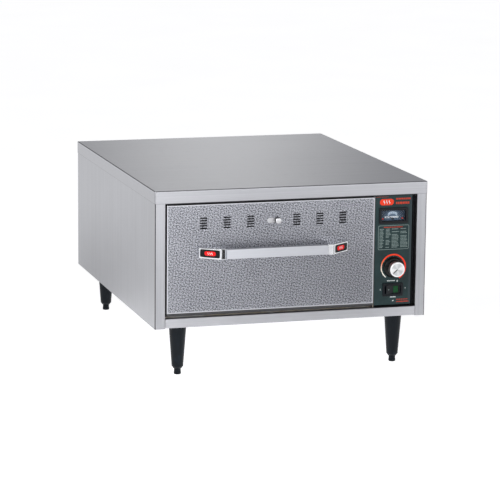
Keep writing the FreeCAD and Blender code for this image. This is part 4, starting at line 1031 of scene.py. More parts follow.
def end_casting(inner_x, out):
    """Plan outline with rounded corners, carried up with eased lower and upper edges, less
    the badge seat."""
    plan = np.stack([inner_x + out * CAP_PLAN[:, 0], front_low.y - CAP_PLAN[:, 1]], 1)
    plan, radii = plan[::-out], CAP_RADII[::-out]
    top = eased(CAP_EASE, caps_high.z, 5)
    bottom = eased(CAP_EASE, 0.0, 5)[::-1] * (1, -1) + (0, caps_low.z)
    rings = raised(rounded_outline(plan, radii, 6), np.concatenate([bottom, top]))
    seat = raised(rounded_outline(centred(SEAT), SEAT_ROUND, 5), [(0.0, -SEAT_DEPTH), (0.0, 0.006)])
    return punched(skin("casting", rings), skin("seat", on_cap(seat, inner_x, out)))


castings = joined("handle_castings", [end_casting(bar_low.x, -1), end_casting(bar_high.x, 1)])
add_piece("handle_castings", castings, chrome_plating(), "drawer", "handle_chrome", "handle_caps",
          sharp=40.0)


# ---- Handle badges -------------------------------------------------------------------
# Gloss black moulded plates glued into the castings. Each has a raised red lozenge with
# three rising heat waves on it, a generic warming sign.

def glossy_plastic(name, dark, light, rough=0.12):
    """Glossy moulding: slow ripple under the shine, faint swirl scratches, a little dust."""
    finish = Finish(name)
    ripple = finish.noise(180.0, 2.0)
    swirls = finish.noise(1300.0, 4.0).between(0.55, 0.8)
    colour = finish.blend(ripple * 0.5 + swirls * 0.5, dark, light)
    return finish.surface(Base_Color=colour, Roughness=swirls * 0.18 + ripple * 0.05 + rough,
                          Specular_IOR_Level=0.25,
                          Normal=finish.bump(ripple + swirls * 0.2, 0.00004, 0.25))


def pad_on(outline, low, high, ease):
    """Rings of a thin raised shape with a softened upper edge."""
    return raised(outline, np.concatenate([[(0.0, low)], eased(ease, high, 3)]))


def ribbon(path, half_width, low, high):
    """Closed rings of a thin raised stroke: the path's points offset to both sides."""
    path = np.asarray(path, float)
    run = np.gradient(path, axis=0)
    run /= np.linalg.norm(run, axis=1)[:, None]
    side = np.stack([-run[:, 1], run[:, 0]], 1)
    half = np.broadcast_to(half_width, len(path))[:, None]
    outline = np.concatenate([path - side * half, (path + side * half)[::-1]])
    return np.array([np.column_stack([outline, np.full(len(outline), height)])
                     for height in (low, high)])


badge_black = glossy_plastic("badge_black", (0.0008, 0.0008, 0.001), (0.003, 0.003, 0.004), 0.22)
badge_red = glossy_plastic("badge_red", (0.78, 0.003, 0.004), (0.98, 0.012, 0.010), 0.3)
badge_white = glossy_plastic("badge_white", (0.80, 0.80, 0.80), (0.95, 0.95, 0.95), 0.25)
BADGE = (0.0420, 0.0156)
LOZENGE = (0.0240, 0.0088)
LOZENGE_SETBACK = 0.0005


def heat_waves(spacing, height, half_width, low, high):
    """Three upright strokes, each one period of a sine, thin at its ends."""
    t = np.linspace(0, 1, 15)
    wave = np.sin(t * 2 * np.pi) * height * 0.12
    thickness = half_width * (0.35 + 0.65 * np.sin(np.pi * t))
    return [ribbon(np.stack([shift + wave, (t - 0.5) * height], 1), thickness, low, high)
            for shift in (-spacing, 0.0, spacing)]


badge_plates, badge_lozenges, badge_waves = [], [], []
for inner_x, out in ((bar_low.x, -1), (bar_high.x, 1)):
    plate = pad_on(rounded_outline(centred(BADGE), SEAT_ROUND, 6), -SEAT_DEPTH, -BADGE_SETBACK,
                   0.0005)
    lozenge = pad_on(rounded_outline(centred(LOZENGE), 0.0040, 8), -BADGE_SETBACK, -LOZENGE_SETBACK,
                     0.0003)
    badge_plates.append(skin("plate", on_cap(plate, inner_x, out)))
    badge_lozenges.append(skin("lozenge", on_cap(lozenge, inner_x, out)))
    for stroke in heat_waves(0.0042, 0.0056, 0.0006, -LOZENGE_SETBACK, -0.0003):
        badge_waves.append(skin("stroke", on_cap(stroke, inner_x, out)))
add_piece("handle_badge_plates", joined("handle_badge_plates", badge_plates), badge_black, "drawer",
          "badge_black", "handle_insets")
add_piece("handle_badge_lozenges", joined("handle_badge_lozenges", badge_lozenges), badge_red,
          "drawer", "badge_black")
add_piece("handle_badge_waves", joined("handle_badge_waves", badge_waves), badge_white, "drawer",
          "badge_black")
dress(screw_zinc, "handle_screws")


# ---- Drawer carriage -----------------------------------------------------------------
# Two side plates, a rear plate and the pan frame on top, spot-welded from plain
# stainless and carried by the inner slide members.

carriage_steel = satin_steel("satin_steel_carriage", "y", dark=(0.42, 0.42, 0.44),
                             light=(0.58, 0.58, 0.60), rough=0.32)
dress(carriage_steel, "drawer_sides", "drawer_back", "pan_frame")


# ---- Food pan ------------------------------------------------------------------------
# Deep-drawn full-size pan: rolled-down rim, a stacking shoulder under the mouth, walls
# that taper in to a rounded bottom, and a faint stiffening panel in the bottom.

def drawn_steel():
    """Deep-drawn stainless: draw marks down the walls, soft haze, scuffs on the bottom."""
    finish = Finish("drawn_steel")
    draw = finish.noise((500.0, 500.0, 14.0), 3.0)
    scuffs = finish.noise((90.0, 500.0, 90.0), 4.0, 0.7)
    haze = finish.noise(12.0, 3.0)
    colour = finish.blend(draw * 0.3 + haze * 0.7, (0.46, 0.46, 0.48), (0.62, 0.62, 0.64))
    roughness = draw * 0.06 + scuffs * 0.08 + haze * 0.05 + 0.19
    return finish.surface(Base_Color=colour, Metallic=1.0, Roughness=roughness,
                          Normal=finish.bump(draw + scuffs * 0.5, 0.00001, 0.2))


pan_low, pan_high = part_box("food_pan")
pan_middle = np.array([(pan_low.x + pan_high.x) / 2, (pan_low.y + pan_high.y) / 2])
PAN_WALL = 0.001
PAN_RIM = np.array([0.325, 0.530])
PAN_MOUTH = np.array([0.303, 0.508])
PAN_FOOT = np.array([0.286, 0.491])
PAN_CORNER = 0.024
FOOT_CORNER = 0.030
FOOT_TURN = 0.012
PANEL_RISE = 0.0006


def pan_ring(size, radius, height):
    """One rounded rectangle about the pan's middle at a height."""
    points = rounded_outline(centred(size) + pan_middle, radius, 10)[0]
    return np.column_stack([points, np.full(len(points), height)])


def pan_wall(depths, inset):
    """Rings down the wall: size and corners go from mouth to foot with the share of the
    depth."""
    rings = []
    for depth in depths:
        share = depth / (pan_high.z - pan_low.z)
        size = PAN_MOUTH + (PAN_FOOT - PAN_MOUTH) * share - 2 * inset
        corner = PAN_CORNER + (FOOT_CORNER - PAN_CORNER) * share - inset
        rings.append(pan_ring(size, corner, pan_high.z - depth))
    return rings


def pan_turn(angles, inset):
    """Rings round the turn from bottom to wall, a quarter circle in size and height."""
    rings = []
    for angle in angles:
        draw_in = (FOOT_TURN - inset) * (1 - math.sin(angle)) + inset
        rise = (FOOT_TURN - inset) * (1 - math.cos(angle)) + inset
        rings.append(pan_ring(PAN_FOOT - 2 * draw_in, FOOT_CORNER - draw_in * 0.4, pan_low.z + rise))
    return rings


def pan_shell():
    """Outside from the middle of the bottom up to the rim, over it, and down the inside."""
    turn = np.linspace(0, np.pi / 2, 6)
    outside = [pan_ring(PAN_FOOT - 0.060, 0.010, pan_low.z + PANEL_RISE),
               pan_ring(PAN_FOOT - 0.052, 0.014, pan_low.z)]
    outside += pan_turn(turn, 0.0)
    outside += pan_wall([0.11, 0.07, 0.034, 0.027, 0.024, 0.022, 0.012, 0.0045], 0.0)
    outside += [pan_ring(PAN_MOUTH + 0.0012, 0.0245, pan_high.z - 0.0022),
                pan_ring(PAN_MOUTH + 0.004, 0.0245, pan_high.z - 0.0012)]
    rim = [pan_ring(PAN_RIM - 0.0012, 0.0218, pan_high.z - 0.0012),
           pan_ring(PAN_RIM, 0.022, pan_high.z - 0.0009), pan_ring(PAN_RIM, 0.022, pan_high.z - 0.0004),
           pan_ring(PAN_RIM - 0.0012, 0.0218, pan_high.z),
           pan_ring(PAN_MOUTH + 0.004, 0.0245, pan_high.z),
           pan_ring(PAN_MOUTH + 0.0004, 0.0240, pan_high.z - 0.0004),
           pan_ring(PAN_MOUTH - 0.0012, 0.0235, pan_high.z - 0.0016)]
    inside = pan_wall([0.0045, 0.012, 0.022], PAN_WALL)
    inside += pan_wall([0.024, 0.027], PAN_WALL + 0.0003)
    inside += pan_wall([0.034, 0.07, 0.11], PAN_WALL)
    inside += pan_turn(turn[::-1], PAN_WALL)
    inside += [pan_ring(PAN_FOOT - 0.052, 0.014, pan_low.z + PAN_WALL),
               pan_ring(PAN_FOOT - 0.060, 0.010, pan_low.z + PAN_WALL + PANEL_RISE)]
    return skin("food_pan_drawn", np.array(outside + rim + inside))


add_piece("food_pan_drawn", pan_shell(), drawn_steel(), "drawer", "brushed_stainless", "food_pan",
          sharp=50.0)


# ---- Control panel overlay -----------------------------------------------------------
# Printed polycarbonate sheet bonded to the panel plate: satin dark green, reverse
# printed in red, orange, white and grey, with a slate band down its right edge.

def overlay_print():
    """Satin film: fine texture, slow ripple of the adhesive and a slate band."""
    finish = Finish("overlay_green")
    texture = finish.noise(2200.0, 3.0)
    ripple = finish.noise(28.0, 2.0)
    x = finish.axis("X")
    band = x.between(panel_high.x - 0.0052, panel_high.x - 0.0046)
    green = finish.blend(ripple.between(0.3, 0.7), (0.006, 0.022, 0.024), (0.010, 0.032, 0.034))
    colour = finish.blend(band, green, (0.020, 0.036, 0.042))
    return finish.surface(Base_Color=colour, Roughness=texture * 0.14 + ripple * 0.05 + 0.42,
                          Specular_IOR_Level=0.32,
                          Normal=finish.bump(texture + ripple, 0.00004, 0.5))


panel_low, panel_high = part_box("panel_overlay")
dress(overlay_print(), "panel_overlay")


def printed_ink(name, dark, light):
    """Screen ink: slightly uneven cover that lets a little of the ground through."""
    finish = Finish(name)
    cover = finish.noise(1600.0, 3.0)
    patches = finish.noise(120.0, 2.0)
    colour = finish.blend(cover * 0.6 + patches * 0.4, dark, light)
    return finish.surface(Base_Color=colour, Roughness=cover * 0.12 + 0.40, Specular_IOR_Level=0.15,
                          Normal=finish.bump(cover, 0.00002, 0.4))


ink_red = printed_ink("ink_red", (0.62, 0.035, 0.015), (0.90, 0.06, 0.02))
ink_rust = printed_ink("ink_rust", (0.34, 0.03, 0.015), (0.60, 0.06, 0.03))
ink_grey = printed_ink("ink_grey", (0.13, 0.18, 0.175), (0.28, 0.35, 0.33))
ink_white = printed_ink("ink_white", (0.50, 0.54, 0.54), (0.76, 0.80, 0.80))
print_face = -panel_low.y
PRINT = 0.00012
print_draw = np.random.default_rng(5)


def bars(name, rows):
    """Thin slabs from rows of (middle x, middle z, width, height), all at once."""
    rows = np.asarray(rows, float)
    signs = np.array([(-1, -1), (1, -1), (1, 1), (-1, 1)]) / 2
    plan = rows[:, None, :2] + signs[None] * rows[:, None, 2:4]
    heights = np.array([print_face, print_face + PRINT])
    points = np.empty((len(rows), 2, 4, 3))
    points[..., 0] = plan[:, None, :, 0]
    points[..., 1] = -heights[None, :, None]
    points[..., 2] = plan[:, None, :, 1]
    pattern = np.array([(4, 5, 6, 7), (3, 2, 1, 0), (0, 1, 5, 4), (1, 2, 6, 5), (2, 3, 7, 6),
                        (3, 0, 4, 7)])
    faces = (pattern[None] + 8 * np.arange(len(rows))[:, None, None]).reshape(-1, 4)
    mesh = bpy.data.meshes.new(name)
    mesh.from_pydata(points.reshape(-1, 3), [], faces.tolist())
    mesh.update()
    return mesh


def greeked(left, right, z, height, shortest=0.0012, longest=0.0042, gap=0.0009):
    """A line of print shown as small plain blocks of random length."""
    blocks, x = [], left
    while x < right - shortest:
        length = min(print_draw.uniform(shortest, longest), right - x)
        blocks.append((x + length / 2, z, length, height))
        x += length + gap
    return blocks


red_rows = greeked(0.2206, 0.2520, 0.3462, 0.0034, 0.0026, 0.0052)
red_rows += greeked(0.2206, 0.2514, 0.3376, 0.0046, 0.0030, 0.0056)
red_rows += greeked(0.2254, 0.2500, 0.1370, 0.0015)
red_rows += greeked(0.2254, 0.2538, 0.1322, 0.0022)
red_rows += greeked(0.1957, 0.2370, 0.2880, 0.0018)
red_rows += [(0.1907, 0.3510, 0.0266, 0.0005)]
add_piece("overlay_red_lines", bars("overlay_red_lines", red_rows), ink_rust, "cabinet", "panel_green")

TABLE_TOP, TABLE_PITCH, TABLE_LINES = 0.2842, 0.0029, 14
TABLE_COLUMNS = ((0.1866, 0.1976), (0.2000, 0.2108), (0.2130, 0.2285), (0.2318, 0.2474))
FILLED_SHARE = 0.90
grey_rows = []
for k in range(TABLE_LINES):
    z = TABLE_TOP - TABLE_PITCH * k
    for left, right in TABLE_COLUMNS:
        if print_draw.uniform() < FILLED_SHARE:
            end = right - print_draw.uniform(0, 0.004)
            grey_rows += greeked(left, end, z, 0.0015, 0.001, 0.003, 0.0006)
add_piece("overlay_table_rows", bars("overlay_table_rows", grey_rows), ink_grey, "cabinet",
          "panel_green")

white_rows = greeked(0.2049, 0.2225, 0.1766, 0.0018, 0.0014, 0.0030, 0.0006)
white_rows += greeked(0.2120, 0.2244, 0.1426, 0.0018, 0.0014, 0.0030, 0.0006)
white_rows += [(0.2262, 0.1756, 0.0012, 0.0042), (0.2278, 0.1756, 0.0006, 0.0042)]
white_rows += [(0.1906, 0.1600, 0.0022, 0.0008), (0.1906, 0.1578, 0.0022, 0.0008)]
white_rows += [(0.2443, 0.1608, 0.0022, 0.0008), (0.2443, 0.1590, 0.0014, 0.0008)]
add_piece("overlay_captions", bars("overlay_captions", white_rows), ink_white, "cabinet", "panel_green")


def frame_line(outline, width):
    """Printed line that runs round an outline: rings out, up and in."""
    profile = [(-width, print_face + PRINT), (-width, print_face), (0.0, print_face),
               (0.0, print_face + PRINT)]
    return to_front(raised(outline, profile))


drop_corners = [(0.2160, 0.1334), (0.2194, 0.1338), (0.2198, 0.1366), (0.2176, 0.1354)]
drop_outline = rounded_outline(drop_corners, 0.0005, 4)
drop_rings = to_front(raised(drop_outline, [(0.0, print_face), (0.0, print_face + PRINT)]))
add_piece("overlay_drop", skin("overlay_drop", drop_rings), ink_white, "cabinet", "panel_green")
table_outline = rounded_outline(rectangle((0.1836, 0.2416), (0.2500, 0.2920)), 0.0030, 6)
add_piece("overlay_table_frame",
          skin("overlay_table_frame", frame_line(table_outline, 0.0009), looped=True),
          ink_grey, "cabinet", "panel_green")
sign_low, sign_high = np.array([0.1860, 0.3338]), np.array([0.2158, 0.3466])
sign_outline = rounded_outline(rectangle(sign_low, sign_high), 0.0060, 10)
sign_rings = to_front(raised(sign_outline, [(0.0, print_face), (0.0, print_face + PRINT)]))
add_piece("overlay_sign", skin("overlay_sign", sign_rings), ink_red, "cabinet", "panel_green")
sign_middle = np.insert((sign_low + sign_high) / 2, 1, 0.0)
sign_strokes = [skin("stroke", to_front(stroke) + sign_middle) for stroke in
                heat_waves(0.0056, 0.0080, 0.0009, print_face + PRINT, print_face + 2 * PRINT)]
add_piece("overlay_sign_waves", joined("overlay_sign_waves", sign_strokes), ink_white, "cabinet",
          "panel_green")


# ---- Thermometer ---------------------------------------------------------------------
# Dial thermometer in a black moulded bezel: a printed dial, a black needle on its
# spindle, and a clear window in front. The case behind is black plastic.

def fine_plastic(name, dark, light, rough=0.34):
    """Moulded plastic with a spark-eroded texture and faint paler scuffs."""
    finish = Finish(name)
    texture = finish.noise(1900.0, 3.0)
    scuffs = finish.noise(70.0, 4.0).between(0.58, 0.75)
    colour = finish.blend(scuffs * 0.6 + texture * 0.3, dark, light)
    return finish.surface(Base_Color=colour, Roughness=texture * 0.14 + scuffs * 0.06 + rough,
                          Specular_IOR_Level=0.28, Normal=finish.bump(texture, 0.00004, 0.4))


def eased_frame(outer, inner, near, far, ease):
    """Window frame as a looped path of rings: back, outer side, eased front, inner side."""
    outside = raised(outer, np.concatenate([[(0.0, far)], eased(ease, near, 4)]))
    inside = raised(inner, [(ease * 0.6, near), (0.0, near - ease * 0.6), (0.0, far)])
    return to_front(np.concatenate([outside, inside]))


black_plastic = fine_plastic("black_plastic", (0.0012, 0.002, 0.004), (0.006, 0.009, 0.015))
bezel_low, bezel_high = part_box("meter_bezel")
lens_low, lens_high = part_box("meter_lens")
bezel_outer = rounded_outline(rectangle((bezel_low.x, bezel_low.z), (bezel_high.x, bezel_high.z)),
                              0.002, 6)
LENS_GAP = 0.0001
window_outline = rounded_outline(rectangle((lens_low.x - LENS_GAP, lens_low.z - LENS_GAP),
                                           (lens_high.x + LENS_GAP, lens_high.z + LENS_GAP)),
                                 0.001, 6)
bezel_rings = eased_frame(bezel_outer, window_outline, -bezel_low.y, -bezel_high.y, 0.0008)
add_piece("meter_bezel_frame", skin("meter_bezel_frame", bezel_rings, looped=True),
          black_plastic, "cabinet", "instrument_black", "meter_bezel")
dress(black_plastic, "meter_case", "thermostat_body")


def meter_window():
    """Clear acrylic: an open view with a faint film of grease and hairlines on it."""
    finish = Finish("meter_window")
    film = finish.noise(50.0, 3.0)
    hairs = finish.noise((1600.0, 200.0, 300.0), 3.0).between(0.6, 0.8)
    colour = finish.blend(film, (0.010, 0.014, 0.020), (0.016, 0.022, 0.030))
    return finish.surface(Base_Color=colour, Roughness=film * 0.04 + hairs * 0.06 + 0.03,
                          Alpha=film * 0.04 + hairs * 0.05 + 0.06,
                          Normal=finish.bump(film, 0.00003, 0.15))


lens_outline = rounded_outline(rectangle((lens_low.x, lens_low.z), (lens_high.x, lens_high.z)),
                               0.001, 6)
lens_rings = to_front(pad_on(lens_outline, -lens_high.y, -lens_low.y, 0.0003))
add_piece("meter_window_clear", skin("meter_window_clear", lens_rings), meter_window(), "cabinet",
          "meter_glass", "meter_lens")

dial_low, dial_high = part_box("meter_dial")
PIVOT = np.array([(dial_low.x + dial_high.x) / 2, dial_low.z + 0.0034])


def dial_print():
    """Printed dial: navy with a blue haze in the middle and fine upright lines, a pale arc
    between two radii of the pivot and a bright broken strip below it."""
    finish = Finish("dial_print")
    x = finish.axis("X") - float(PIVOT[0])
    z = finish.axis("Z") - float(PIVOT[1])
    radius = (x * x + z * z) ** 0.5
    paper = finish.noise(1500.0, 2.0)
    centre = 1 - radius.between(0.008, 0.026)
    lines = ((x * 3400.0).sine() * 0.5 + 0.5).between(0.55, 0.95) * 0.35
    ground = finish.blend(centre * 0.7 + lines, (0.008, 0.018, 0.040), (0.12, 0.20, 0.31))
    band = radius.between(0.0105, 0.0109) * (1 - radius.between(0.0150, 0.0154))
    middle = 1 - x.size().between(0.0095, 0.0105)
    colour = finish.blend(band * middle * 0.9, ground, (0.60, 0.74, 0.90))
    breaks = finish.noise(620.0, 1.0).between(0.36, 0.44)
    strip = 1 - (x + 0.0022).size().between(0.0142, 0.0150)
    strip = strip * (1 - (z - 0.0036).size().between(0.0016, 0.0020)) * breaks
    colour = finish.blend(strip * 0.95, colour, (0.88, 0.95, 1.0))
    return finish.surface(Base_Color=colour, Roughness=paper * 0.1 + 0.45,
                          Normal=finish.bump(paper, 0.00002, 0.3))


dial_outline = rounded_outline(rectangle((dial_low.x, dial_low.z), (dial_high.x, dial_high.z)),
                               0.001, 5)
dial_rings = to_front(raised(dial_outline, [(-0.0001, -dial_high.y), (0.0, -dial_high.y + 0.0002),
                                            (0.0, -dial_low.y - 0.0001), (-0.0001, -dial_low.y)]))
BORE = 0.002
bore_outline = rounded_outline(centred((BORE, BORE)) + PIVOT, BORE / 2 - 0.00001, 6)
spindle_bore = skin("bore", to_front(raised(bore_outline, [(0.0, -dial_high.y - 0.001),
                                                           (0.0, -dial_low.y + 0.001)])))
dial_mesh = punched(skin("dial", dial_rings), spindle_bore)
dial_mesh.name = "meter_dial_plate"
add_piece("meter_dial_plate", dial_mesh, dial_print(), "cabinet", "dial_white", "meter_dial")


def ring_strokes(centre, inner, outer, degrees, half_width, low, high):
    """Radial tick marks at the given angles, anticlockwise from the right."""
    strokes = []
    for angle in np.radians(degrees):
        along = np.array([math.cos(angle), math.sin(angle)])
        path = np.array([centre + along * r for r in (inner, (inner + outer) / 2, outer)])
        strokes.append(skin("tick", to_front(ribbon(path, half_width, low, high))))
    return strokes


dial_face = -dial_low.y
DIAL_PRINT = 0.0001
dial_ticks = ring_strokes(PIVOT, 0.0112, 0.0134, range(30, 151, 20), 0.00030, dial_face,
                          dial_face + DIAL_PRINT)
dial_ticks += ring_strokes(PIVOT, 0.0112, 0.0123, range(40, 150, 20), 0.00016, dial_face,
                           dial_face + DIAL_PRINT)
ink_black = printed_ink("ink_black", (0.004, 0.004, 0.006), (0.014, 0.014, 0.018))
add_piece("meter_dial_ticks", joined("meter_dial_ticks", dial_ticks), ink_black, "cabinet",
          "dial_white")
red_corners = [ribbon([(x, 0.3036), (x, 0.3050), (x, 0.3064)], 0.0016, dial_face,
                      dial_face + DIAL_PRINT) for x in (0.1945, 0.2368)]
red_meshes = [skin("mark", to_front(rings)) for rings in red_corners]
add_piece("meter_dial_marks", joined("meter_dial_marks", red_meshes), ink_red, "cabinet",
          "dial_white")

needle_paint = fine_plastic("needle_paint", (0.004, 0.004, 0.005), (0.012, 0.012, 0.014), 0.4)
dress(needle_paint, "meter_needle")


# ---- Thermostat scale ----------------------------------------------------------------
# Printed ring round the knob: a thin white line at the cool end that swells and warms
# through orange to red over the top, with small grey ticks inside it.

skirt_low, skirt_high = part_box("knob_skirt")
KNOB_CENTRE = np.array([(skirt_low.x + skirt_high.x) / 2, (skirt_low.z + skirt_high.z) / 2])
SCALE_START, SCALE_END = 232.0, -60.0
SCALE_STEPS = 72


def scale_ink():
    """Ink that goes from white through orange to red by its angle round the knob."""
    finish = Finish("scale_ink")
    sweep = finish.mark()
    cover = finish.noise(1500.0, 3.0)
    colour = finish.node("ShaderNodeValToRGB",
                         {"stops": [(0.0, (0.92, 0.95, 0.90)), (0.15, (0.90, 0.80, 0.68)),
                                    (0.25, (0.98, 0.24, 0.10)), (0.34, (1.0, 0.06, 0.02)),
                                    (1.0, (0.92, 0.035, 0.012))]}, {"Fac": sweep}, "Color")
    return finish.surface(Base_Color=colour, Roughness=cover * 0.12 + 0.40, Specular_IOR_Level=0.15,
                          Normal=finish.bump(cover, 0.00002, 0.4))


def scale_band():
    """Tapering ring: rings of four points carried round the knob, their outer radius
    growing with the sweep; the share of the sweep is kept as the mark."""
    share = np.linspace(0, 1, SCALE_STEPS + 1)
    angle = np.radians(SCALE_START + (SCALE_END - SCALE_START) * share)
    inner = 0.0249 - 0.0003 * np.clip(share * 3, 0, 1)
    outer = 0.0262 + 0.0016 * np.clip(share * 2.6, 0, 1)
    corners = [(inner, print_face), (outer, print_face), (outer, print_face + PRINT),
               (inner, print_face + PRINT)]
    rings = np.empty((SCALE_STEPS + 1, 4, 3))
    for k, (radius, height) in enumerate(corners):
        rings[:, k, 0] = KNOB_CENTRE[0] + radius * np.cos(angle)
        rings[:, k, 1] = -height
        rings[:, k, 2] = KNOB_CENTRE[1] + radius * np.sin(angle)
    return skin("thermostat_scale", rings, share)


add_piece("thermostat_scale", scale_band(), scale_ink(), "cabinet", "panel_green")
scale_ticks = ring_strokes(KNOB_CENTRE, 0.0226, 0.0238, range(-50, 231, 28), 0.00030, print_face,
                           print_face + PRINT)
add_piece("thermostat_ticks", joined("thermostat_ticks", scale_ticks), ink_grey, "cabinet",
          "panel_green")


# ---- Thermostat knob -----------------------------------------------------------------
# Black moulded drum with a thin skirt, and a spun aluminium cap with a rolled rim, a
# finely ribbed side and a dished face. A dark line on the cap is the pointer.

cap_low, cap_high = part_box("knob_cap")
knob_place = (float(KNOB_CENTRE[0]), 0.0, float(KNOB_CENTRE[1]))
SKIRT_RADIUS = 0.0215
CAP_RADIUS = (cap_high.x - cap_low.x) / 2
DRUM_RADIUS = CAP_RADIUS - 0.0006
FLUTE_COUNT = 24
RIB_COUNT = 48
DISH = 0.0007
skirt_back, drum_face = -skirt_high.y, -skirt_low.y
cap_back, cap_face = -cap_high.y, -cap_low.y


def drum_flutes(angles, profile):
    """Shallow scallops round the drum between the skirt and the cap."""
    drum = (profile[:, 0] > DRUM_RADIUS - 0.0002) & (profile[:, 0] < DRUM_RADIUS + 0.0002)
    return np.where(drum[:, None], 1 - 0.012 * (1 + np.cos(angles * FLUTE_COUNT))[None] / 2, 1.0)


skirt_profile = [(0.010, skirt_back + 0.0032), (0.010, skirt_back), (SKIRT_RADIUS - 0.0003, skirt_back),
                 (SKIRT_RADIUS, skirt_back + 0.0003), (SKIRT_RADIUS - 0.0004, skirt_back + 0.0012),
                 (0.0192, skirt_back + 0.0037), (0.0187, skirt_back + 0.0040),
                 (0.0176, skirt_back + 0.0042),
                 (DRUM_RADIUS + 0.0004, skirt_back + 0.0048), (DRUM_RADIUS, skirt_back + 0.0056),
                 (DRUM_RADIUS, drum_face - 0.0004), (DRUM_RADIUS - 0.0004, drum_face), (0.0035, drum_face)]
knob_black = fine_plastic("knob_black", (0.0008, 0.001, 0.0012), (0.004, 0.0045, 0.005), 0.20)
skirt_mesh = lathed("thermostat_drum", skirt_profile, knob_place, "-y", 144, drum_flutes)
add_piece("thermostat_drum", skirt_mesh, knob_black, "thermostat_knob", "knob_black", "knob_skirt",
          sharp=50.0)


def cap_ribs(angles, profile):
    """Fine ribs on the side of the cap only."""
    side = (profile[:, 0] > CAP_RADIUS - 0.0003) & (profile[:, 1] < cap_face - 0.0016)
    return np.where(side[:, None], 1 - 0.010 * (1 + np.cos(angles * RIB_COUNT))[None] / 2, 1.0)


cap_profile = [(DRUM_RADIUS + 0.00005, cap_face - 0.003), (DRUM_RADIUS + 0.00005, cap_back),
               (CAP_RADIUS - 0.0002, cap_back), (CAP_RADIUS, cap_back + 0.0003),
               (CAP_RADIUS, cap_face - 0.0024), (CAP_RADIUS, cap_face - 0.0018),
               (CAP_RADIUS, cap_face - 0.0012), (CAP_RADIUS - 0.0003, cap_face - 0.0005),
               (CAP_RADIUS - 0.0009, cap_face - 0.0001), (CAP_RADIUS - 0.0015, cap_face),
               (CAP_RADIUS - 0.0021, cap_face - 0.0001), (CAP_RADIUS - 0.0026, cap_face - DISH * 0.6),
               (CAP_RADIUS - 0.0030, cap_face - DISH), (0.011, cap_face - DISH - 0.0002),
               (0.006, cap_face - DISH - 0.0003), (0.0010, cap_face - DISH - 0.0003)]


def spun_cap():
    """Spun aluminium: fine rings about the centre on the dished face, a painted highlight
    that swings four times round it as brushed discs catch light, a painted highlight on
    the rim and painted shade on the ribbed side."""
    finish = Finish("spun_cap")
    x, z = finish.axis("X") - knob_place[0], finish.axis("Z") - knob_place[2]
    radius = (x * x + z * z) ** 0.5
    rings = finish.node("ShaderNodeTexNoise", {"noise_dimensions": "1D"},
                        {"W": radius * 5200.0, "Scale": 1.0, "Detail": 2.0}, "Fac")
    turn = x.math("ARCTAN2", z, x)
    # Painted highlight: the tone swings round the cap like the highlights of a brushed disc.
    painted_fan_highlights = (turn * 4.0 + 0.7).sine() * 0.3 + (turn * 2.0 + 1.1).sine() * 0.2 + 0.5
    # Painted highlight: outside the dished face the rim is made full bright.
    inside = 1 - radius.between(CAP_RADIUS - 0.0032, CAP_RADIUS - 0.0026)
    tone = (rings * 0.35 + painted_fan_highlights * 0.65) * inside + (1 - inside)
    colour = finish.blend(tone.between(0.15, 0.95), (0.56, 0.57, 0.585), (0.94, 0.94, 0.95))
    # Painted shade on the ribbed side.
    side = (finish.axis("Y") - cap_low.y).between(0.0016, 0.0026)
    colour = finish.blend(side * 0.85, colour, (0.05, 0.05, 0.055))
    return finish.surface(Base_Color=colour, Metallic=0.72, Roughness=rings * 0.12 + 0.32,
                          Normal=finish.bump(rings * inside, 0.00004, 0.4))


cap_mesh = lathed("thermostat_cap", cap_profile, knob_place, "-y", 192, cap_ribs)
add_piece("thermostat_cap", cap_mesh, spun_cap(), "thermostat_knob", "knob_silver", "knob_cap",
          sharp=60.0)
POINTER_TURN = math.radians(222.0)
pointer_way = np.array([math.cos(POINTER_TURN), math.sin(POINTER_TURN)])
pointer_path = KNOB_CENTRE + pointer_way * np.linspace(0.0, CAP_RADIUS - 0.0034, 6)[:, None]
pointer_rings = to_front(ribbon(pointer_path, 0.00085, cap_face - DISH - 0.0003,
                                cap_face - DISH + 0.00018))
add_piece("thermostat_pointer", skin("thermostat_pointer", pointer_rings), ink_black,
          "thermostat_knob", "knob_black")
dress(plated_zinc("shaft_metal", (0.5, 0.5, 0.5), (0.62, 0.62, 0.62), 0.3), "thermostat_shaft")


# ---- Power switch --------------------------------------------------------------------
# Black snap-in rocker switch: an eased bezel, a two-sided rocker with a green lamp lens in
# its right half, and a small grey ring for OFF on the left half.

rocker_low, rocker_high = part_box("switch_rocker")
switch_plastic = fine_plastic("switch_plastic", (0.0010, 0.0022, 0.0045), (0.005, 0.009, 0.016), 0.24)
dress(switch_plastic, "switch_case", "switch_rocker")


def lamp_lens():
    """Tinted green acrylic over the unlit lamp: fine prisms across, painted shade at its far end."""
    finish = Finish("lamp_lens")
    prisms = (finish.axis("Z") * 5200.0).sine() * 0.5 + 0.5
    depth = finish.noise(260.0, 2.0)
    colour = finish.blend(prisms * 0.5 + depth * 0.5, (0.0006, 0.022, 0.006), (0.003, 0.085, 0.020))
    # Painted shade: the far end of the lens, in the shadow of the bezel.
    end_painted_shade = finish.axis("X").between(lens_end - 0.0024, lens_end - 0.0020)
    colour = finish.blend(end_painted_shade, colour, (0.001, 0.002, 0.002))
    return finish.surface(Base_Color=colour, Roughness=depth * 0.10 + 0.20, Specular_IOR_Level=0.22,
                          Normal=finish.bump(prisms, 0.0001, 0.3))


lens_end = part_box("switch_lens")[1].x
dress(lamp_lens(), "switch_lens")

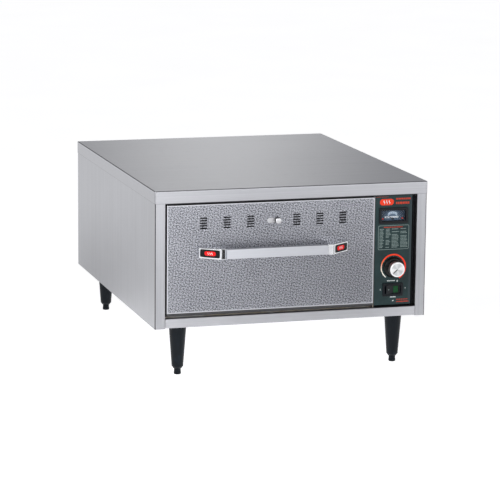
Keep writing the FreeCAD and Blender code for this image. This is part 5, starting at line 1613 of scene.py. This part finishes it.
ROCKER_SLOPE = math.radians(18.93)
ring_along = np.array([math.cos(ROCKER_SLOPE), math.sin(ROCKER_SLOPE), 0.0])
ring_outward = np.array([ring_along[1], -ring_along[0], 0.0])
ring_centre = np.array([rocker_low.x + 0.0069, rocker_low.y + 0.00196,
                        (rocker_low.z + rocker_high.z) / 2])
RING_INNER, RING_OUTER, RING_PRINT = 0.0007, 0.0013, 0.00008
ring_turn = np.linspace(0, 2 * np.pi, 32, endpoint=False)
ring_way = np.stack([np.cos(ring_turn), np.sin(ring_turn)], 1)
off_rings = np.array([np.column_stack([ring_way * radius, np.full(len(ring_way), height)])
                      for radius, height in ((RING_INNER, RING_PRINT), (RING_INNER, 0.0),
                                             (RING_OUTER, 0.0), (RING_OUTER, RING_PRINT))])
off_rings = ring_centre + off_rings @ np.array([ring_along, [0.0, 0.0, 1.0], ring_outward])
add_piece("switch_off_mark", skin("switch_off_mark", off_rings, looped=True), ink_grey, "power_rocker",
          "instrument_black")


# ---- Wiring and sensing --------------------------------------------------------------
# Behind the panel: copper capillaries and bulbs, a cream porcelain terminal block with
# its clamps, and leads in woven glass sleeving.

def drawn_copper():
    """Copper tube: brown tarnish in patches over bright drawn metal."""
    finish = Finish("drawn_copper")
    tarnish = finish.noise(55.0, 4.0)
    grain = finish.noise(1800.0, 3.0)
    colour = finish.blend(tarnish.between(0.35, 0.65), (0.62, 0.28, 0.15), (0.22, 0.10, 0.06))
    return finish.surface(Base_Color=colour, Metallic=1.0, Roughness=tarnish * 0.25 + grain * 0.1 + 0.15,
                          Normal=finish.bump(grain, 0.00002, 0.4))


def porcelain():
    """Cream porcelain: pinholes, slight warm blotches, a thin glaze."""
    finish = Finish("porcelain")
    blotches = finish.noise(80.0, 3.0)
    pinholes = finish.noise(1200.0, 2.0).between(0.68, 0.75)
    colour = finish.blend(blotches, (0.62, 0.55, 0.42), (0.78, 0.72, 0.60))
    colour = finish.blend(pinholes * 0.6, colour, (0.25, 0.20, 0.14))
    return finish.surface(Base_Color=colour, Roughness=blotches * 0.1 + 0.3,
                          Normal=finish.bump(pinholes, 0.0001, 0.4))


def glass_sleeve():
    """Braided sleeve: two crossed sets of fine diagonal waves in off-white."""
    finish = Finish("glass_sleeve")
    x, y, z = (finish.axis(name) for name in "XYZ")
    crossing = ((x + y + z) * 6000.0).sine() * ((x - y - z) * 6000.0).sine() * 0.5 + 0.5
    dirt_and_painted_shade = finish.noise(120.0, 3.0)
    colour = finish.blend(crossing * 0.6 + dirt_and_painted_shade * 0.4, (0.30, 0.28, 0.24), (0.72, 0.70, 0.64))
    return finish.surface(Base_Color=colour, Roughness=crossing * 0.1 + 0.7,
                          Normal=finish.bump(crossing, 0.0002, 0.6))


dress(drawn_copper(), "temperature_sensors")
dress(porcelain(), "terminal_block")
dress(glass_sleeve(), "wire_harness")


# ---- Studio --------------------------------------------------------------------------
# Plain pale floor, a soft sky that is dim overhead, a broad light at the front right and a
# small one near the left, and cards and dark flags that only shiny surfaces see. The
# camera is a long lens at the front left.

FLOOR_GLOW = 0.885
FLOOR_HALF = 40.0


def studio_floor():
    """Matt pale floor, lit from below like a light table, with the faintest mottling."""
    finish = Finish("studio_floor")
    mottle = finish.noise(3.0, 2.0)
    colour = finish.blend(mottle, (0.86, 0.86, 0.86), (0.89, 0.89, 0.89))
    return finish.surface(Base_Color=colour, Roughness=mottle * 0.05 + 0.9, Specular_IOR_Level=0.0,
                          Emission_Color=colour, Emission_Strength=FLOOR_GLOW)


floor_mesh = bpy.data.meshes.new("floor")
floor_corners = [(x, y, 0.0) for x, y in rectangle((-FLOOR_HALF, -FLOOR_HALF), (FLOOR_HALF, FLOOR_HALF))]
floor_mesh.from_pydata(floor_corners, [], [(0, 1, 2, 3)])
floor_mesh.materials.append(studio_floor().material)
floor = bpy.data.objects.new("floor", floor_mesh)
bpy.context.scene.collection.objects.link(floor)


def soft_light(name, place, aim, size, power):
    """Rectangular area light at a place, turned towards the aim."""
    lamp = bpy.data.lights.new(name, "AREA")
    lamp.shape = "RECTANGLE"
    lamp.size, lamp.size_y = size
    lamp.energy = power
    holder = bpy.data.objects.new(name, lamp)
    bpy.context.scene.collection.objects.link(holder)
    way = np.array(aim, float) - np.array(place, float)
    flat = math.hypot(way[0], way[1])
    turn = Matrix.Rotation(math.atan2(-way[0], way[1]), 4, "Z")
    tilt = Matrix.Rotation(math.atan2(flat, -way[2]), 4, "X")
    holder.matrix_world = Matrix.Translation(place) @ turn @ tilt
    holder.visible_camera = False


soft_light("front_wall", (1.7, -4.0, 0.9), (0.0, -0.34, 0.25), (3.4, 1.8), 24.0)
soft_light("near_front", (-0.72, -1.10, 0.85), (-0.20, -0.34, 0.28), (0.8, 0.5), 8.0)


def feathered_card(name, centre, half_width, low, high, brightness, foot=0.2, head=0.3, core=0.0,
                   cover=1.0):
    """Upright card that only shiny surfaces see; without brightness it is a dark flag.

    Its cover is greatest over the core, a share of its width, and fades to nothing at its
    sides, over the foot's height at the bottom and over the head's height at the top.
    """
    finish = Finish(name)
    sideways = 1 - (finish.axis("X") - centre[0]).size().between(half_width * core, half_width)
    z = finish.axis("Z")
    upright = z.between(low, low + foot) * (1 - z.between(high - head, high))
    share = sideways * upright * cover
    glow = finish.node("ShaderNodeEmission", None, {"Color": (1.0, 1.0, 1.0), "Strength": brightness})
    nothing = finish.node("ShaderNodeBsdfTransparent")
    finish.ends_in(finish.node("ShaderNodeMixShader", None, {0: share, 1: nothing, 2: glow}))
    mesh = bpy.data.meshes.new(name)
    corners = rectangle((centre[0] - half_width, low), (centre[0] + half_width, high))
    mesh.from_pydata([(x, centre[1], z) for x, z in corners], [], [(0, 1, 2, 3)])
    mesh.materials.append(finish.material)
    card = bpy.data.objects.new(name, mesh)
    bpy.context.scene.collection.objects.link(card)
    card.visible_camera = False
    card.visible_diffuse = False
    card.visible_shadow = False
    card.visible_transmission = False


feathered_card("back_card", (0.40, 1.6), 0.62, 0.2, 1.5, 0.95)
feathered_card("front_flag", (0.18, -0.80), 0.16, 0.0, 0.28, 0.0, 0.001, 0.14, 0.4, 0.34)
feathered_card("low_flag", (0.06, -0.82), 0.34, 0.0, 0.24, 0.0, 0.001, 0.18, 0.5, 0.50)
feathered_card("neck_flag", (0.30, -0.78), 0.10, 0.02, 0.24, 0.0, 0.04, 0.08, 0.7, 0.95)
feathered_card("corner_glow", (-0.24, -0.84), 0.22, 0.08, 0.40, 2.7, 0.20, 0.14, 0.3, 0.55)
feathered_card("side_flag", (-0.40, 0.42), 0.18, 0.0, 0.26, 0.0, 0.001, 0.22, 0.2, 0.34)


world = bpy.data.worlds.new("studio_sky")
world.use_nodes = True
sky = world.node_tree
sky.nodes.clear()
direction = sky.nodes.new("ShaderNodeTexCoord")
split = sky.nodes.new("ShaderNodeSeparateXYZ")
ramp = sky.nodes.new("ShaderNodeValToRGB")
background = sky.nodes.new("ShaderNodeBackground")
sky_end = sky.nodes.new("ShaderNodeOutputWorld")
ramp.color_ramp.elements[0].position = 0.0
ramp.color_ramp.elements[0].color = (0.52, 0.525, 0.54, 1.0)
ramp.color_ramp.elements[1].position = 0.85
ramp.color_ramp.elements[1].color = (0.16, 0.16, 0.17, 1.0)
sky.links.new(direction.outputs["Generated"], split.inputs["Vector"])
sky.links.new(split.outputs["Z"], ramp.inputs["Fac"])
sky.links.new(ramp.outputs["Color"], background.inputs["Color"])
sky.links.new(background.outputs["Background"], sky_end.inputs["Surface"])
background.inputs["Strength"].default_value = 1.0
bpy.context.scene.world = world
bpy.context.scene.view_settings.view_transform = "Standard"

CAMERA_PLACE = (-1.472, -4.955, 1.1856)
CAMERA_YAW, CAMERA_DOWN, CAMERA_ROLL = map(math.radians, (16.67, 10.93, 0.58))
camera_data = bpy.data.cameras.new("camera")
camera_data.sensor_width = 36.0
camera_data.lens = 176.3
camera_data.clip_end = 200.0
camera = bpy.data.objects.new("camera", camera_data)
bpy.context.scene.collection.objects.link(camera)
camera.matrix_world = (Matrix.Translation(CAMERA_PLACE) @ Matrix.Rotation(-CAMERA_YAW, 4, "Z")
                       @ Matrix.Rotation(math.pi / 2 - CAMERA_DOWN, 4, "X")
                       @ Matrix.Rotation(CAMERA_ROLL, 4, "Z"))
bpy.context.scene.camera = camera
